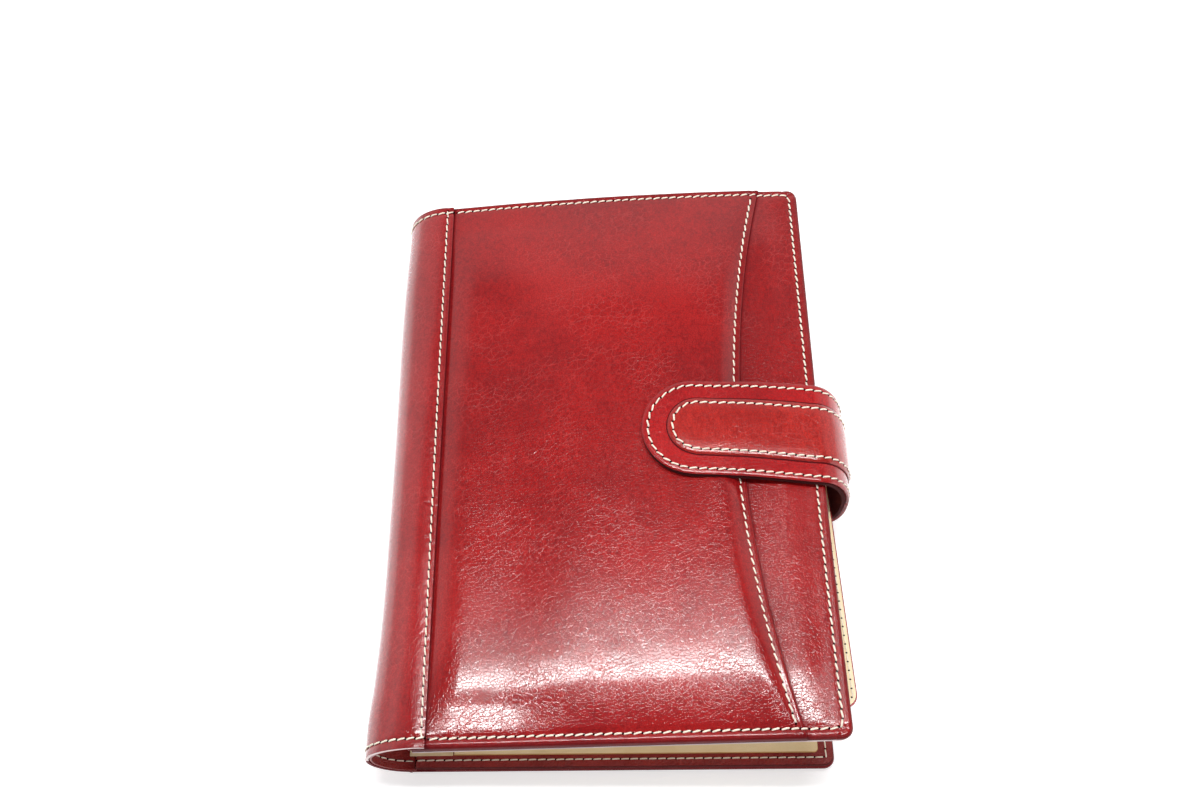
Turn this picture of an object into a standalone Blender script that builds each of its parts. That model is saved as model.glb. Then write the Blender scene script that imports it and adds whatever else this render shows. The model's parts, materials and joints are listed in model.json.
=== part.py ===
"""Leather ring diary, closed with a strap and lying on its back cover.

The spine is at -X, the fore edge at +X, the foot at -Y and the head at +Y. The origin is on the table,
under the middle of the back cover. Sizes are in metres.
"""
import math

import bmesh
import bpy
from mathutils import Matrix, Vector

# Covers
COVER_HEIGHT = 0.230
COVER_WIDTH = 0.164
CLOSED_THICKNESS = 0.0305
WEDGE_ANGLE = math.radians(4.0)
CORNER_RADIUS = 0.004
GAP = 0.0003

# Layers
COVER_LEATHER = 0.0012
PANEL_LEATHER = 0.0009
LINING_LEATHER = 0.0008
POCKET_LEATHER = 0.0007
BOARD_THICKNESS = 0.0015

# Spine
SPINE_RADIUS = 0.014
SEAM_OVERLAP = 0.007
SPINE_TAIL = 0.008
ARC_STEPS = 10

# Front panels
CENTRE_UNDERLAP = 0.006
BOW_END_INSET = 0.0155
BOW_DEPTH = 0.014
BOW_OVERLAP = 0.008
CROWN_HEIGHT = 0.004
CROWN_FALL_SIDE = 0.020
CROWN_FALL_END = 0.030
KEEPER_SIZE = (0.024, 0.018, 0.0006)
KEEPER_BEHIND_TIP = 0.0154

# Pockets
POCKET_FORE_INSET = 0.0095
POCKET_END_INSET = 0.006
POCKET_SPINE_INSET = 0.0135

# Rings and pages
RING_INSET = 0.006
RING_HEIGHT = 0.0143
RING_RADIUS = 0.0075
RING_WIRE = 0.0011
RING_BEND = 0.002
RING_TIP_GAP = 0.0004
RING_PLACES = (0.035, 0.054, 0.073)
RING_ROOT = 0.0032
PLATE_THICKNESS = 0.0007
PLATE_HALF_WIDTH = 0.0056
PLATE_MARGIN = 0.005
PLATE_SPLIT = 0.0002
RAIL_HALF_WIDTH = 0.0062
RAIL_MARGIN = 0.014
RAIL_ARCH = 0.001
RAIL_THICKNESS = 0.0007
RAIL_CLEARANCE = 0.0012
NOTCH_WIDTH = 0.0032
NOTCH_DEPTH = 0.0035
RIVET_MARGIN = 0.008
RIVET_SHANK = 0.0015
RIVET_HEAD = 0.003
RIVET_HEAD_HEIGHT = 0.001
PAGE_FORE_INSET = 0.0018
PAGE_HEIGHT = 0.205
PAGE_CORNER = 0.003
PAGE_INSET = 0.0012
PAGE_HOLE = 0.0022
REAR_STACK = 0.0053
FRONT_STACK = 0.0041
LEAF_PROUD = 0.0015
LEAF_HEIGHT = 0.197
LEAF_CORNER = 0.005
TAB_PROUD_FOOT = 0.0076
TAB_PROUD_HEAD = 0.0056
TAB_HEAD_Y = 0.002
TAB_SHOULDER = 0.012
LEAF_BACKING = 0.0007
LEAF_FACE = 0.0006
SLOT_INNER = 0.0036
SLOT_OUTER = 0.0096

# Strap
STRAP_WIDTH = 0.037
STRAP_LEATHER = 0.0011
STRAP_BACKING = 0.0008
STRAP_MAGNET = 0.0005
INLAY_WIDTH = 0.025
INLAY_THICKNESS = 0.001
INLAY_TIP_INSET = 0.0095
STRAP_REACH = 0.0644
STRAP_TIP_Y = 0.0025
STRAP_ROOT_Y = -0.0025
LOOP_INSET = 0.003
LOOP_REACH = 0.014
LOOP_FULLNESS = 2.6
LOOP_TOP = 0.0428
STRAP_TAIL = 0.006
STRAP_CREST = 0.0003
MAGNET_LENGTH = 0.030
MAGNET_WIDTH = 0.020
TIP_FACETS = 7

# Worked out: plan of the covers
HALF_HEIGHT = COVER_HEIGHT / 2
FORE_EDGE_X = COVER_WIDTH / 2
SPINE_OUTER_X = -COVER_WIDTH / 2
SPINE_TANGENT_X = SPINE_OUTER_X + SPINE_RADIUS
SEAM_X = SPINE_TANGENT_X + SEAM_OVERLAP

# Worked out: levels of the back cover
BACK_BOARD_Z = COVER_LEATHER + GAP
BACK_RIM_Z = BACK_BOARD_Z + BOARD_THICKNESS + GAP
BACK_LINING_Z = BACK_RIM_Z + GAP
BACK_INNER_Z = BACK_LINING_Z + LINING_LEATHER
SPINE_LOW_Z = BACK_BOARD_Z

# Worked out: fold axes on which the rounded spine unrolls flat
FOLD_SHARE = math.pi / 4
FOLD_X = SPINE_TANGENT_X - FOLD_SHARE * SPINE_RADIUS
FOLD_LOW_Z = SPINE_LOW_Z + (1 - FOLD_SHARE) * SPINE_RADIUS
FOLD_HIGH_Z = CLOSED_THICKNESS - (1 - FOLD_SHARE) * SPINE_RADIUS

# Worked out: levels of the front cover before it is wedged open
CENTRE_TOP_Z = CLOSED_THICKNESS - COVER_LEATHER - GAP
CENTRE_LOW_Z = CENTRE_TOP_Z - PANEL_LEATHER
FORE_TOP_Z = CENTRE_LOW_Z - GAP
FORE_LOW_Z = FORE_TOP_Z - PANEL_LEATHER
FRONT_BOARD_TOP_Z = FORE_LOW_Z - GAP
FRONT_BOARD_Z = FRONT_BOARD_TOP_Z - BOARD_THICKNESS
FRONT_LINING_TOP_Z = FRONT_BOARD_Z - GAP
FRONT_LINING_Z = FRONT_LINING_TOP_Z - LINING_LEATHER
FRONT_POCKET_TOP_Z = FRONT_LINING_Z - GAP
FRONT_POCKET_Z = FRONT_POCKET_TOP_Z - POCKET_LEATHER
FRONT_EDGE_X = FOLD_X + (FORE_EDGE_X - FOLD_X) / math.cos(WEDGE_ANGLE)

# Worked out: rings and leaves
RING_X = SPINE_TANGENT_X + RING_INSET
PLATE_HALF_LENGTH = RING_PLACES[-1] + PLATE_MARGIN
RAIL_HALF_LENGTH = PLATE_HALF_LENGTH + RAIL_MARGIN
RIVET_PLACE = PLATE_HALF_LENGTH + RIVET_MARGIN
WIRE_Z = BACK_INNER_Z + GAP + RING_WIRE
PLATE_Z = WIRE_Z - PLATE_THICKNESS - RING_WIRE / 10
RAIL_CROWN_Z = PLATE_Z + PLATE_THICKNESS + RAIL_CLEARANCE + RAIL_THICKNESS
PIVOT_Z = PLATE_Z + PLATE_THICKNESS / 2
PAGE_LEFT_X = RING_X + PAGE_INSET
PAGE_WIDTH = FORE_EDGE_X - PAGE_FORE_INSET - PAGE_LEFT_X
REAR_STACK_Z = RAIL_CROWN_Z + GAP
FRONT_STACK_Z = REAR_STACK_Z + REAR_STACK + GAP
LEAF_BACKING_Z = FRONT_STACK_Z + FRONT_STACK + GAP
LEAF_FACE_Z = LEAF_BACKING_Z + LEAF_BACKING + GAP

# Worked out: strap loop and the axes on which it unrolls
LOOP_X = FORE_EDGE_X - LOOP_INSET
STRAP_TIP_X = LOOP_X - STRAP_REACH
KEEPER_X = STRAP_TIP_X + KEEPER_BEHIND_TIP
STRAP_DEPTH = STRAP_LEATHER + STRAP_MAGNET + STRAP_BACKING + 2 * GAP
LOOP_LOW = BACK_INNER_Z + GAP
LOOP_MID_Z = (LOOP_TOP + LOOP_LOW) / 2
LOOP_RISE = (LOOP_TOP - LOOP_LOW) / 2
STRAP_FOLD_X = LOOP_X + FOLD_SHARE * LOOP_REACH
STRAP_FOLD_LOW_Z = LOOP_MID_Z - FOLD_SHARE * LOOP_RISE
STRAP_FOLD_HIGH_Z = LOOP_MID_Z + FOLD_SHARE * LOOP_RISE


def new_collection(name):
    collection = bpy.data.collections.new(name)
    bpy.context.scene.collection.children.link(collection)
    return collection


def material(name, color, roughness, metallic=0.0):
    mat = bpy.data.materials.new(name)
    mat.use_nodes = True
    shader = mat.node_tree.nodes["Principled BSDF"]
    shader.inputs["Base Color"].default_value = (*color, 1.0)
    shader.inputs["Roughness"].default_value = roughness
    shader.inputs["Metallic"].default_value = metallic
    return mat


def pivot(name, place, tilt=0.0, parent=None):
    """An empty on a joint's axis. A tilt turns it about that axis, fore edge up."""
    empty = bpy.data.objects.new(name, None)
    parts.objects.link(empty)
    empty.location = place
    empty.rotation_euler = (0.0, -tilt, 0.0)
    attach(empty, parent)
    bpy.context.view_layer.update()
    return empty


def attach(obj, parent):
    """Parent to a pivot, keeping the place that the object was drawn in before the pivot's tilt."""
    if parent is not None:
        obj.parent = parent
        obj.matrix_parent_inverse = Matrix.Translation(parent.matrix_world.translation).inverted()


def add(name, data, mat, parent=None):
    obj = bpy.data.objects.new(name, data)
    parts.objects.link(obj)
    data.materials.append(mat)
    attach(obj, parent)
    return obj


def rounded_outline(x0, x1, y0, y1, radius, round_left=True, steps=5):
    """Corner points of a rectangle, anticlockwise, with the right or all corners rounded."""
    corners = ((x1, y0, -90, True), (x1, y1, 0, True), (x0, y1, 90, round_left), (x0, y0, 180, round_left))
    points = []
    for x, y, start, is_round in corners:
        if not is_round:
            points.append((x, y))
            continue
        centre_x = x - radius if x == x1 else x + radius
        centre_y = y - radius if y == y1 else y + radius
        for step in range(steps + 1):
            angle = math.radians(start + 90 * step / steps)
            points.append((centre_x + radius * math.cos(angle), centre_y + radius * math.sin(angle)))
    return points


def rounded_corners(corners, radius, steps=5):
    """An outline through corners, each of them rounded by an arc."""
    points = []
    for index, corner in enumerate(corners):
        at = Vector(corner)
        back = (Vector(corners[index - 1]) - at).normalized()
        ahead = (Vector(corners[(index + 1) % len(corners)]) - at).normalized()
        half_angle = back.angle(ahead) / 2
        centre = at + (back + ahead).normalized() * radius / math.sin(half_angle)
        start = (at + back * radius / math.tan(half_angle) - centre).normalized()
        end = (at + ahead * radius / math.tan(half_angle) - centre).normalized()
        for step in range(steps + 1):
            points.append(tuple(centre + start.slerp(end, step / steps) * radius))
    return points


def slot_outline(x0, x1, y, radius, steps=6):
    """A hole with round ends, from x0 to x1 overall."""
    points = []
    for centre, start in ((x1 - radius, -90), (x0 + radius, 90)):
        for step in range(steps + 1):
            angle = math.radians(start + 180 * step / steps)
            points.append((centre + radius * math.cos(angle), y + radius * math.sin(angle)))
    return points


def plate(name, outlines, z0, z1, mat, parent=None):
    """A flat outline, with any holes, raised from z0 to z1."""
    curve = bpy.data.curves.new(name, "CURVE")
    curve.dimensions = "2D"
    curve.fill_mode = "BOTH"
    curve.extrude = (z1 - z0) / 2
    for outline in outlines:
        spline = curve.splines.new("POLY")
        spline.points.add(len(outline) - 1)
        for point, (x, y) in zip(spline.points, outline):
            point.co = (x, y, 0.0, 1.0)
        spline.use_cyclic_u = True
    obj = add(name, curve, mat)
    obj.location.z = (z0 + z1) / 2
    attach(obj, parent)
    return obj


def as_mesh(curve_object):
    """The same piece as a welded mesh, so that it can be cut or joined."""
    bpy.context.view_layer.update()
    evaluated = curve_object.evaluated_get(bpy.context.evaluated_depsgraph_get())
    mesh = bpy.data.meshes.new_from_object(evaluated)
    model = bmesh.new()
    model.from_mesh(mesh)
    bmesh.ops.remove_doubles(model, verts=model.verts, dist=0.000001)
    bmesh.ops.recalc_face_normals(model, faces=model.faces)
    model.to_mesh(mesh)
    model.free()
    obj = bpy.data.objects.new(curve_object.name, mesh)
    parts.objects.link(obj)
    obj.matrix_world = curve_object.matrix_world
    name = curve_object.name
    bpy.data.objects.remove(curve_object)
    obj.name = name
    return obj


def make_cutter(obj):
    parts.objects.unlink(obj)
    cutters.objects.link(obj)
    obj.hide_render = True
    obj.display_type = "WIRE"
    return obj


def boolean(obj, other, operation):
    modifier = obj.modifiers.new(operation.lower(), "BOOLEAN")
    modifier.operation = operation
    modifier.object = other


def box_mesh(name, boxes):
    """Boxes given as lowest and highest corners, in one mesh."""
    model = bmesh.new()
    for low, high in boxes:
        size = Vector(high) - Vector(low)
        middle = (Vector(high) + Vector(low)) / 2
        place = Matrix.Translation(middle) @ Matrix.Diagonal((*size, 1.0))
        bmesh.ops.create_cube(model, size=1.0, matrix=place)
    mesh = bpy.data.meshes.new(name)
    model.to_mesh(mesh)
    model.free()
    return mesh


def mapped_grid(model, place, across, along):
    """Add a grid whose point at shares (u, v) lies at place(u, v)."""
    made = bmesh.ops.create_grid(model, x_segments=across, y_segments=along, size=1.0)
    for vert in made["verts"]:
        vert.co = place((vert.co.x + 1) / 2, (vert.co.y + 1) / 2)
    return made["verts"]


def sheet(name, place, across, along, thickness, mat, parent=None):
    """A leather or metal sheet whose outer face is place(u, v)."""
    model = bmesh.new()
    mapped_grid(model, place, across, along)
    mesh = bpy.data.meshes.new(name)
    model.to_mesh(mesh)
    model.free()
    mesh.shade_smooth()
    obj = add(name, mesh, mat, parent)
    solid = obj.modifiers.new("thickness", "SOLIDIFY")
    solid.thickness = thickness
    solid.offset = -1.0
    solid.use_even_offset = True
    return obj


def point_at(points, share):
    """Read a list of points by a share that falls on one of them."""
    return points[round(share * (len(points) - 1))]


def tray(name, outline, inner, floor, rim, mat, parent=None):
    """A leather face with a turned rim: floor and rim are pairs of low and high levels."""
    low = min(floor[0], rim[0])
    high = max(floor[1], rim[1])
    obj = as_mesh(plate(name, [outline], low, high, mat))
    cut_low, cut_high = (floor[1], high + CORNER_RADIUS)
    cutter = as_mesh(plate(name + "_hollow", [inner], cut_low, cut_high, mat))
    make_cutter(cutter)
    boolean(obj, cutter, "DIFFERENCE")
    attach(obj, parent)
    attach(cutter, parent)
    return obj


def bow_x(y):
    """The bowed seam between the centre and the fore-edge panel."""
    radius = (HALF_HEIGHT ** 2 + BOW_DEPTH ** 2) / (2 * BOW_DEPTH)
    middle = FRONT_EDGE_X - BOW_END_INSET - BOW_DEPTH
    return middle + radius - math.sqrt(radius ** 2 - y ** 2)


def crown(x, y):
    """Height of the padding above the margin of the centre panel."""
    from_side = min(x - SEAM_X, bow_x(y) - x) / CROWN_FALL_SIDE
    from_end = (HALF_HEIGHT - abs(y)) / CROWN_FALL_END
    side = math.sin(math.pi / 2 * min(max(from_side, 0.0), 1.0))
    end = math.sin(math.pi / 2 * min(max(from_end, 0.0), 1.0))
    return CROWN_HEIGHT * side * end


def wedge(x, z, share):
    """Turn a point of the front cover about the upper fold, by a share of the wedge."""
    angle = share * WEDGE_ANGLE
    dx = x - FOLD_X
    dz = z - FOLD_HIGH_Z
    return (
        FOLD_X + dx * math.cos(angle) - dz * math.sin(angle),
        FOLD_HIGH_Z + dx * math.sin(angle) + dz * math.cos(angle),
    )


def spine_profile(inset, low_end_x, high_end_x):
    """Section of the spine leather from the back cover round to the front, inset from the outer face."""
    radius = SPINE_RADIUS - inset
    points = [(low_end_x, SPINE_LOW_Z + inset)]
    for step in range(ARC_STEPS + 1):
        angle = math.pi / 2 * step / ARC_STEPS
        x = SPINE_TANGENT_X - radius * math.sin(angle)
        z = SPINE_LOW_Z + SPINE_RADIUS - radius * math.cos(angle)
        points.append((x, z))
    for step in range(ARC_STEPS + 1):
        share = step / ARC_STEPS
        angle = math.pi / 2 * share
        x = SPINE_TANGENT_X - radius * math.cos(angle)
        z = CLOSED_THICKNESS - SPINE_RADIUS + radius * math.sin(angle)
        points.append(wedge(x, z, share))
    points.append(wedge(high_end_x, CLOSED_THICKNESS - inset, 1.0))
    return points


def fullness(value):
    """Push a sine or cosine outwards, so that a loop is fuller than an ellipse."""
    return math.copysign(abs(value) ** (2 / LOOP_FULLNESS), value)


def strap_path(inset, with_tail):
    """Section of the strap from its tail on the back cover, round the loop, to the tip."""
    outer = []
    if with_tail:
        outer.append(Vector((LOOP_X - STRAP_TAIL, LOOP_LOW)))
    loop_steps = 2 * ARC_STEPS
    for step in range(loop_steps + 1):
        angle = math.pi * step / loop_steps
        x = LOOP_X + LOOP_REACH * fullness(math.sin(angle))
        z = LOOP_MID_Z - LOOP_RISE * fullness(math.cos(angle))
        outer.append(Vector((x, z)))
    crown_top = CENTRE_TOP_Z + CROWN_HEIGHT
    rest_x = bow_x(0.0) - CROWN_FALL_SIDE
    rest = Vector(wedge(rest_x, crown_top + GAP + STRAP_DEPTH, 1.0))
    tip = Vector(wedge(STRAP_TIP_X, crown_top + GAP + STRAP_DEPTH, 1.0))
    span_steps = ARC_STEPS
    for step in range(1, span_steps + 1):
        share = step / span_steps
        hump = STRAP_CREST * math.sin(math.pi * share)
        outer.append(Vector((LOOP_X, LOOP_TOP)).lerp(rest, share) + Vector((0.0, hump)))
    for facet in range(TIP_FACETS):
        share = (facet + 1) / TIP_FACETS
        outer.append(rest.lerp(tip, share))
    return offset_path(outer, inset)


def offset_path(points, inset):
    """Move a section inwards, to the left of its run, by the inset."""
    moved = []
    for index, point in enumerate(points):
        before = points[max(index - 1, 0)]
        after = points[min(index + 1, len(points) - 1)]
        run = (after - before).normalized()
        moved.append(point + Vector((-run.y, run.x)) * inset)
    return moved


def path_lengths(points):
    lengths = [0.0]
    for before, after in zip(points, points[1:]):
        lengths.append(lengths[-1] + (after - before).length)
    return lengths


def band(name, inset, width, thickness, tip_inset, mat, parent, with_tail=True, start=0.0):
    """One layer of the strap, with a round tip, on the strap's section."""
    path = strap_path(inset, with_tail)
    lengths = path_lengths(path)
    length = lengths[-1] - tip_inset
    half = width / 2
    stations = [value for value in lengths if start <= value < length - half]
    for facet in range(TIP_FACETS):
        stations.append(length - half + half * math.sin(math.pi / 2 * facet / TIP_FACETS))
    stations.append(length - half * (1 - math.cos(math.radians(8))))

    def station_point(distance):
        for index in range(len(lengths) - 1):
            if distance <= lengths[index + 1] or index == len(lengths) - 2:
                share = (distance - lengths[index]) / (lengths[index + 1] - lengths[index])
                return path[index].lerp(path[index + 1], share)

    lean = (STRAP_TIP_Y - STRAP_ROOT_Y) / (LOOP_X - STRAP_TIP_X)

    def place(u, v):
        distance = point_at(stations, u)
        at = station_point(distance)
        from_tip = min(length - distance, half)
        reach = math.sqrt(max(half ** 2 - (half - from_tip) ** 2, 0.0))
        on_front = distance > lengths[-1] - (LOOP_X - STRAP_TIP_X)
        middle_y = STRAP_ROOT_Y
        if on_front:
            middle_y += lean * (distance - lengths[-1] + LOOP_X - STRAP_TIP_X)
        return Vector((at.x, middle_y + reach * (1 - 2 * v), at.y))

    return sheet(name, place, len(stations) - 1, 4, thickness, mat, parent)


def make_back_cover():
    left = SPINE_TANGENT_X - CORNER_RADIUS / 2
    outline = rounded_outline(left, FORE_EDGE_X, -HALF_HEIGHT, HALF_HEIGHT, CORNER_RADIUS, round_left=False)
    rim = COVER_LEATHER
    board_left = SPINE_TANGENT_X + SPINE_TAIL + GAP
    right_side = rounded_outline(left, FORE_EDGE_X - rim, -HALF_HEIGHT + rim, HALF_HEIGHT - rim,
                                 CORNER_RADIUS - rim, round_left=False)[:-2]
    beyond_x = left - CORNER_RADIUS
    beyond_y = HALF_HEIGHT + CORNER_RADIUS
    inner = right_side + [(board_left, HALF_HEIGHT - rim), (board_left, beyond_y), (beyond_x, beyond_y),
                          (beyond_x, -beyond_y), (board_left, -beyond_y), (board_left, -HALF_HEIGHT + rim)]
    tray("back_panel", outline, inner, (0.0, COVER_LEATHER), (0.0, BACK_RIM_Z), red_leather)
    inset = rim + GAP
    board = rounded_outline(board_left, FORE_EDGE_X - inset, -HALF_HEIGHT + inset, HALF_HEIGHT - inset,
                            CORNER_RADIUS - inset, round_left=False)
    plate("back_board", [board], BACK_BOARD_Z, BACK_BOARD_Z + BOARD_THICKNESS, grey_board)
    lining = rounded_outline(SPINE_TANGENT_X + GAP, FORE_EDGE_X, -HALF_HEIGHT, HALF_HEIGHT, CORNER_RADIUS,
                             round_left=False)
    plate("back_lining", [lining], BACK_LINING_Z, BACK_INNER_Z, maroon_leather)
    pocket_z = BACK_INNER_Z + GAP
    pocket_left = RING_X + RING_RADIUS + RING_WIRE + GAP
    pocket = rounded_outline(pocket_left, FORE_EDGE_X - POCKET_FORE_INSET, -HALF_HEIGHT + POCKET_END_INSET,
                             HALF_HEIGHT - POCKET_END_INSET, CORNER_RADIUS)
    plate("back_pocket", [pocket], pocket_z, pocket_z + POCKET_LEATHER, cream_leather)


def make_spine(parent):
    low_end = SPINE_TANGENT_X + SPINE_TAIL
    panel = spine_profile(0.0, low_end, SEAM_X)
    inset = COVER_LEATHER + GAP
    lining = spine_profile(inset, SPINE_TANGENT_X - GAP, SPINE_TANGENT_X - GAP)[1:-1]

    def spread(points, half_height):
        def place(u, v):
            x, z = point_at(points, u)
            return Vector((x, half_height * (2 * v - 1), z))
        return place

    sheet("spine_panel", spread(panel, HALF_HEIGHT), len(panel) - 1, 1, COVER_LEATHER, red_leather, parent)
    lining_half = HALF_HEIGHT - COVER_LEATHER
    sheet("spine_lining", spread(lining, lining_half), len(lining) - 1, 1, LINING_LEATHER, maroon_leather,
          parent)


def make_front_cover(parent):
    left = SPINE_TANGENT_X + GAP
    rim = COVER_LEATHER
    outline = rounded_outline(left, FRONT_EDGE_X, -HALF_HEIGHT, HALF_HEIGHT, CORNER_RADIUS, round_left=False)
    inner = rounded_outline(left - CORNER_RADIUS, FRONT_EDGE_X - rim, -HALF_HEIGHT + rim, HALF_HEIGHT - rim,
                            CORNER_RADIUS - rim, round_left=False)
    tray("front_lining", outline, inner, (FRONT_LINING_Z, FRONT_LINING_TOP_Z),
         (FRONT_LINING_Z, FRONT_BOARD_TOP_Z), maroon_leather, parent)
    inset = rim + GAP
    board = rounded_outline(left, FRONT_EDGE_X - inset, -HALF_HEIGHT + inset, HALF_HEIGHT - inset,
                            CORNER_RADIUS - inset, round_left=False)
    plate("front_board", [board], FRONT_BOARD_Z, FRONT_BOARD_TOP_Z, grey_board, parent)
    pocket = rounded_outline(SPINE_TANGENT_X + POCKET_SPINE_INSET, FRONT_EDGE_X - POCKET_FORE_INSET,
                             -HALF_HEIGHT + POCKET_END_INSET, HALF_HEIGHT - POCKET_END_INSET, CORNER_RADIUS)
    plate("front_pocket", [pocket], FRONT_POCKET_Z, FRONT_POCKET_TOP_Z, cream_leather, parent)
    make_fore_edge_panel(parent)
    make_centre_panel(parent)
    make_padding(parent)


def make_fore_edge_panel(parent):
    outline = rounded_outline(0.0, FRONT_EDGE_X, -HALF_HEIGHT, HALF_HEIGHT, CORNER_RADIUS, round_left=False)
    right_side = outline[:-2]
    bow_steps = 2 * ARC_STEPS
    for step in range(bow_steps + 1):
        y = HALF_HEIGHT * (1 - 2 * step / bow_steps)
        right_side.append((bow_x(y) - BOW_OVERLAP, y))
    plate("fore_edge_panel", [right_side], FORE_LOW_Z, FORE_TOP_Z, red_leather, parent)


def make_centre_panel(parent):
    left = SEAM_X - CENTRE_UNDERLAP

    def place(u, v):
        y = HALF_HEIGHT * (2 * v - 1)
        x = left + u * (bow_x(y) - left)
        return Vector((x, y, CENTRE_TOP_Z + crown(x, y)))

    sheet("centre_panel", place, 18, 24, PANEL_LEATHER, red_leather, parent)


def make_padding(parent):
    """Foam under the centre panel, with a steel plate let into its underside for the strap's magnet."""
    left = SEAM_X
    foam_low = FRONT_BOARD_TOP_Z + GAP
    end_inset = COVER_LEATHER + GAP

    def top(u, v):
        y = (HALF_HEIGHT - end_inset) * (2 * v - 1)
        x = left + u * (bow_x(y) - BOW_OVERLAP - GAP - left)
        return Vector((x, y, CENTRE_LOW_Z - GAP + crown(x, y) * (1 - PANEL_LEATHER / CROWN_FALL_SIDE)))

    def low(u, v):
        point = top(u, v)
        point.z = foam_low
        return point

    model = bmesh.new()
    mapped_grid(model, top, 12, 16)
    low_verts = mapped_grid(model, low, 12, 16)
    low_faces = {face for vert in low_verts for face in vert.link_faces}
    bmesh.ops.reverse_faces(model, faces=list(low_faces))
    rims = [edge for edge in model.edges if edge.is_boundary]
    bmesh.ops.bridge_loops(model, edges=rims)
    bmesh.ops.recalc_face_normals(model, faces=model.faces)
    mesh = bpy.data.meshes.new("foam_pad")
    model.to_mesh(mesh)
    model.free()
    foam = add("foam_pad", mesh, grey_foam, parent)

    length, width, thickness = KEEPER_SIZE
    low_corner = Vector((KEEPER_X - length / 2, -width / 2, foam_low))
    high_corner = Vector((KEEPER_X + length / 2, width / 2, foam_low + thickness))
    keeper = box_mesh("keeper_plate", [(low_corner, high_corner)])
    add("keeper_plate", keeper, steel, parent)
    margin = Vector((GAP, GAP, GAP))
    below = Vector((0.0, 0.0, thickness))
    recess = box_mesh("keeper_recess", [(low_corner - margin - below, high_corner + margin)])
    cutter = add("keeper_recess", recess, grey_foam, parent)
    make_cutter(cutter)
    boolean(foam, cutter, "DIFFERENCE")


def make_rail():
    """The arched rail over the ring plates, notched for the wires and riveted at both ends."""

    def place(u, v):
        side = 2 * u - 1
        y = RAIL_HALF_LENGTH * (2 * v - 1)
        return Vector((RING_X + RAIL_HALF_WIDTH * side, y, RAIL_CROWN_Z - RAIL_ARCH * side ** 2))

    rail = sheet("ring_rail", place, 8, 1, RAIL_THICKNESS, nickel)
    notches = []
    for y in ring_places():
        for side in (-1, 1):
            edges = sorted((RING_X + side * (RAIL_HALF_WIDTH - NOTCH_DEPTH), RING_X + side * 2 * RAIL_HALF_WIDTH))
            notches.append(((edges[0], y - NOTCH_WIDTH / 2, BACK_INNER_Z),
                            (edges[1], y + NOTCH_WIDTH / 2, 2 * RAIL_CROWN_Z)))
    notch_cutter = add("rail_notches", box_mesh("rail_notches", notches), nickel)
    make_cutter(notch_cutter)
    boolean(rail, notch_cutter, "DIFFERENCE")
    for name, y in (("rail_rivet_foot", -RIVET_PLACE), ("rail_rivet_head", RIVET_PLACE)):
        bpy.ops.mesh.primitive_cylinder_add(vertices=24, radius=RIVET_SHANK + GAP, depth=2 * RAIL_CROWN_Z,
                                            location=(RING_X, y, RAIL_CROWN_Z))
        hole = bpy.context.object
        hole.name = name + "_hole"
        bpy.context.collection.objects.unlink(hole)
        parts.objects.link(hole)
        make_cutter(hole)
        boolean(rail, hole, "DIFFERENCE")
        make_rivet(name, y)


def make_rivet(name, y):
    low = BACK_INNER_Z + GAP
    seat = RAIL_CROWN_Z + GAP
    profile = ((0.0, seat + RIVET_HEAD_HEIGHT), (RIVET_HEAD * 0.6, seat + RIVET_HEAD_HEIGHT * 0.85),
               (RIVET_HEAD, seat), (RIVET_SHANK, seat), (RIVET_SHANK, low), (0.0, low))
    model = bmesh.new()
    verts = [model.verts.new((x, 0.0, z)) for x, z in profile]
    for before, after in zip(verts, verts[1:]):
        model.edges.new((before, after))
    mesh = bpy.data.meshes.new(name)
    model.to_mesh(mesh)
    model.free()
    rivet = add(name, mesh, nickel)
    rivet.location = (RING_X, y, 0.0)
    screw = rivet.modifiers.new("turn", "SCREW")
    screw.steps = 24
    screw.render_steps = 24
    screw.use_merge_vertices = True
    screw.merge_threshold = 0.00001


def ring_places():
    return [side * place for side in (-1, 1) for place in RING_PLACES]


def make_ring_half(name, side, parent):
    """A spring plate with its half rings, on one side of the rail."""
    inner = RING_X + side * PLATE_SPLIT
    outer = RING_X + side * PLATE_HALF_WIDTH
    low = (min(inner, outer), -PLATE_HALF_LENGTH, PLATE_Z)
    high = (max(inner, outer), PLATE_HALF_LENGTH, PLATE_Z + PLATE_THICKNESS)
    half = add(name, box_mesh(name, [(low, high)]), nickel, parent)
    for index, y in enumerate(ring_places()):
        wire = bpy.data.curves.new(name + "_wire", "CURVE")
        wire.dimensions = "3D"
        wire.bevel_depth = RING_WIRE
        wire.bevel_resolution = 1
        wire.use_fill_caps = True
        points = ring_wire_points(side)
        spline = wire.splines.new("POLY")
        spline.points.add(len(points) - 1)
        for point, (x, z) in zip(spline.points, points):
            point.co = (x, y, z, 1.0)
        drawn = add("%s_wire_%d" % (name, index), wire, nickel)
        joined = make_cutter(as_mesh(drawn))
        attach(joined, parent)
        boolean(half, joined, "UNION")


def ring_wire_points(side):
    points = [(RING_ROOT, WIRE_Z)]
    for step in range(4):
        angle = math.pi / 2 * step / 3
        points.append((RING_RADIUS - RING_BEND + RING_BEND * math.sin(angle),
                       WIRE_Z + RING_BEND - RING_BEND * math.cos(angle)))
    top_angle = math.pi / 2 - RING_TIP_GAP / RING_RADIUS
    for step in range(9):
        angle = top_angle * step / 8
        points.append((RING_RADIUS * math.cos(angle), RING_HEIGHT + RING_RADIUS * math.sin(angle)))
    return [(RING_X + side * x, z) for x, z in points]


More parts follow.
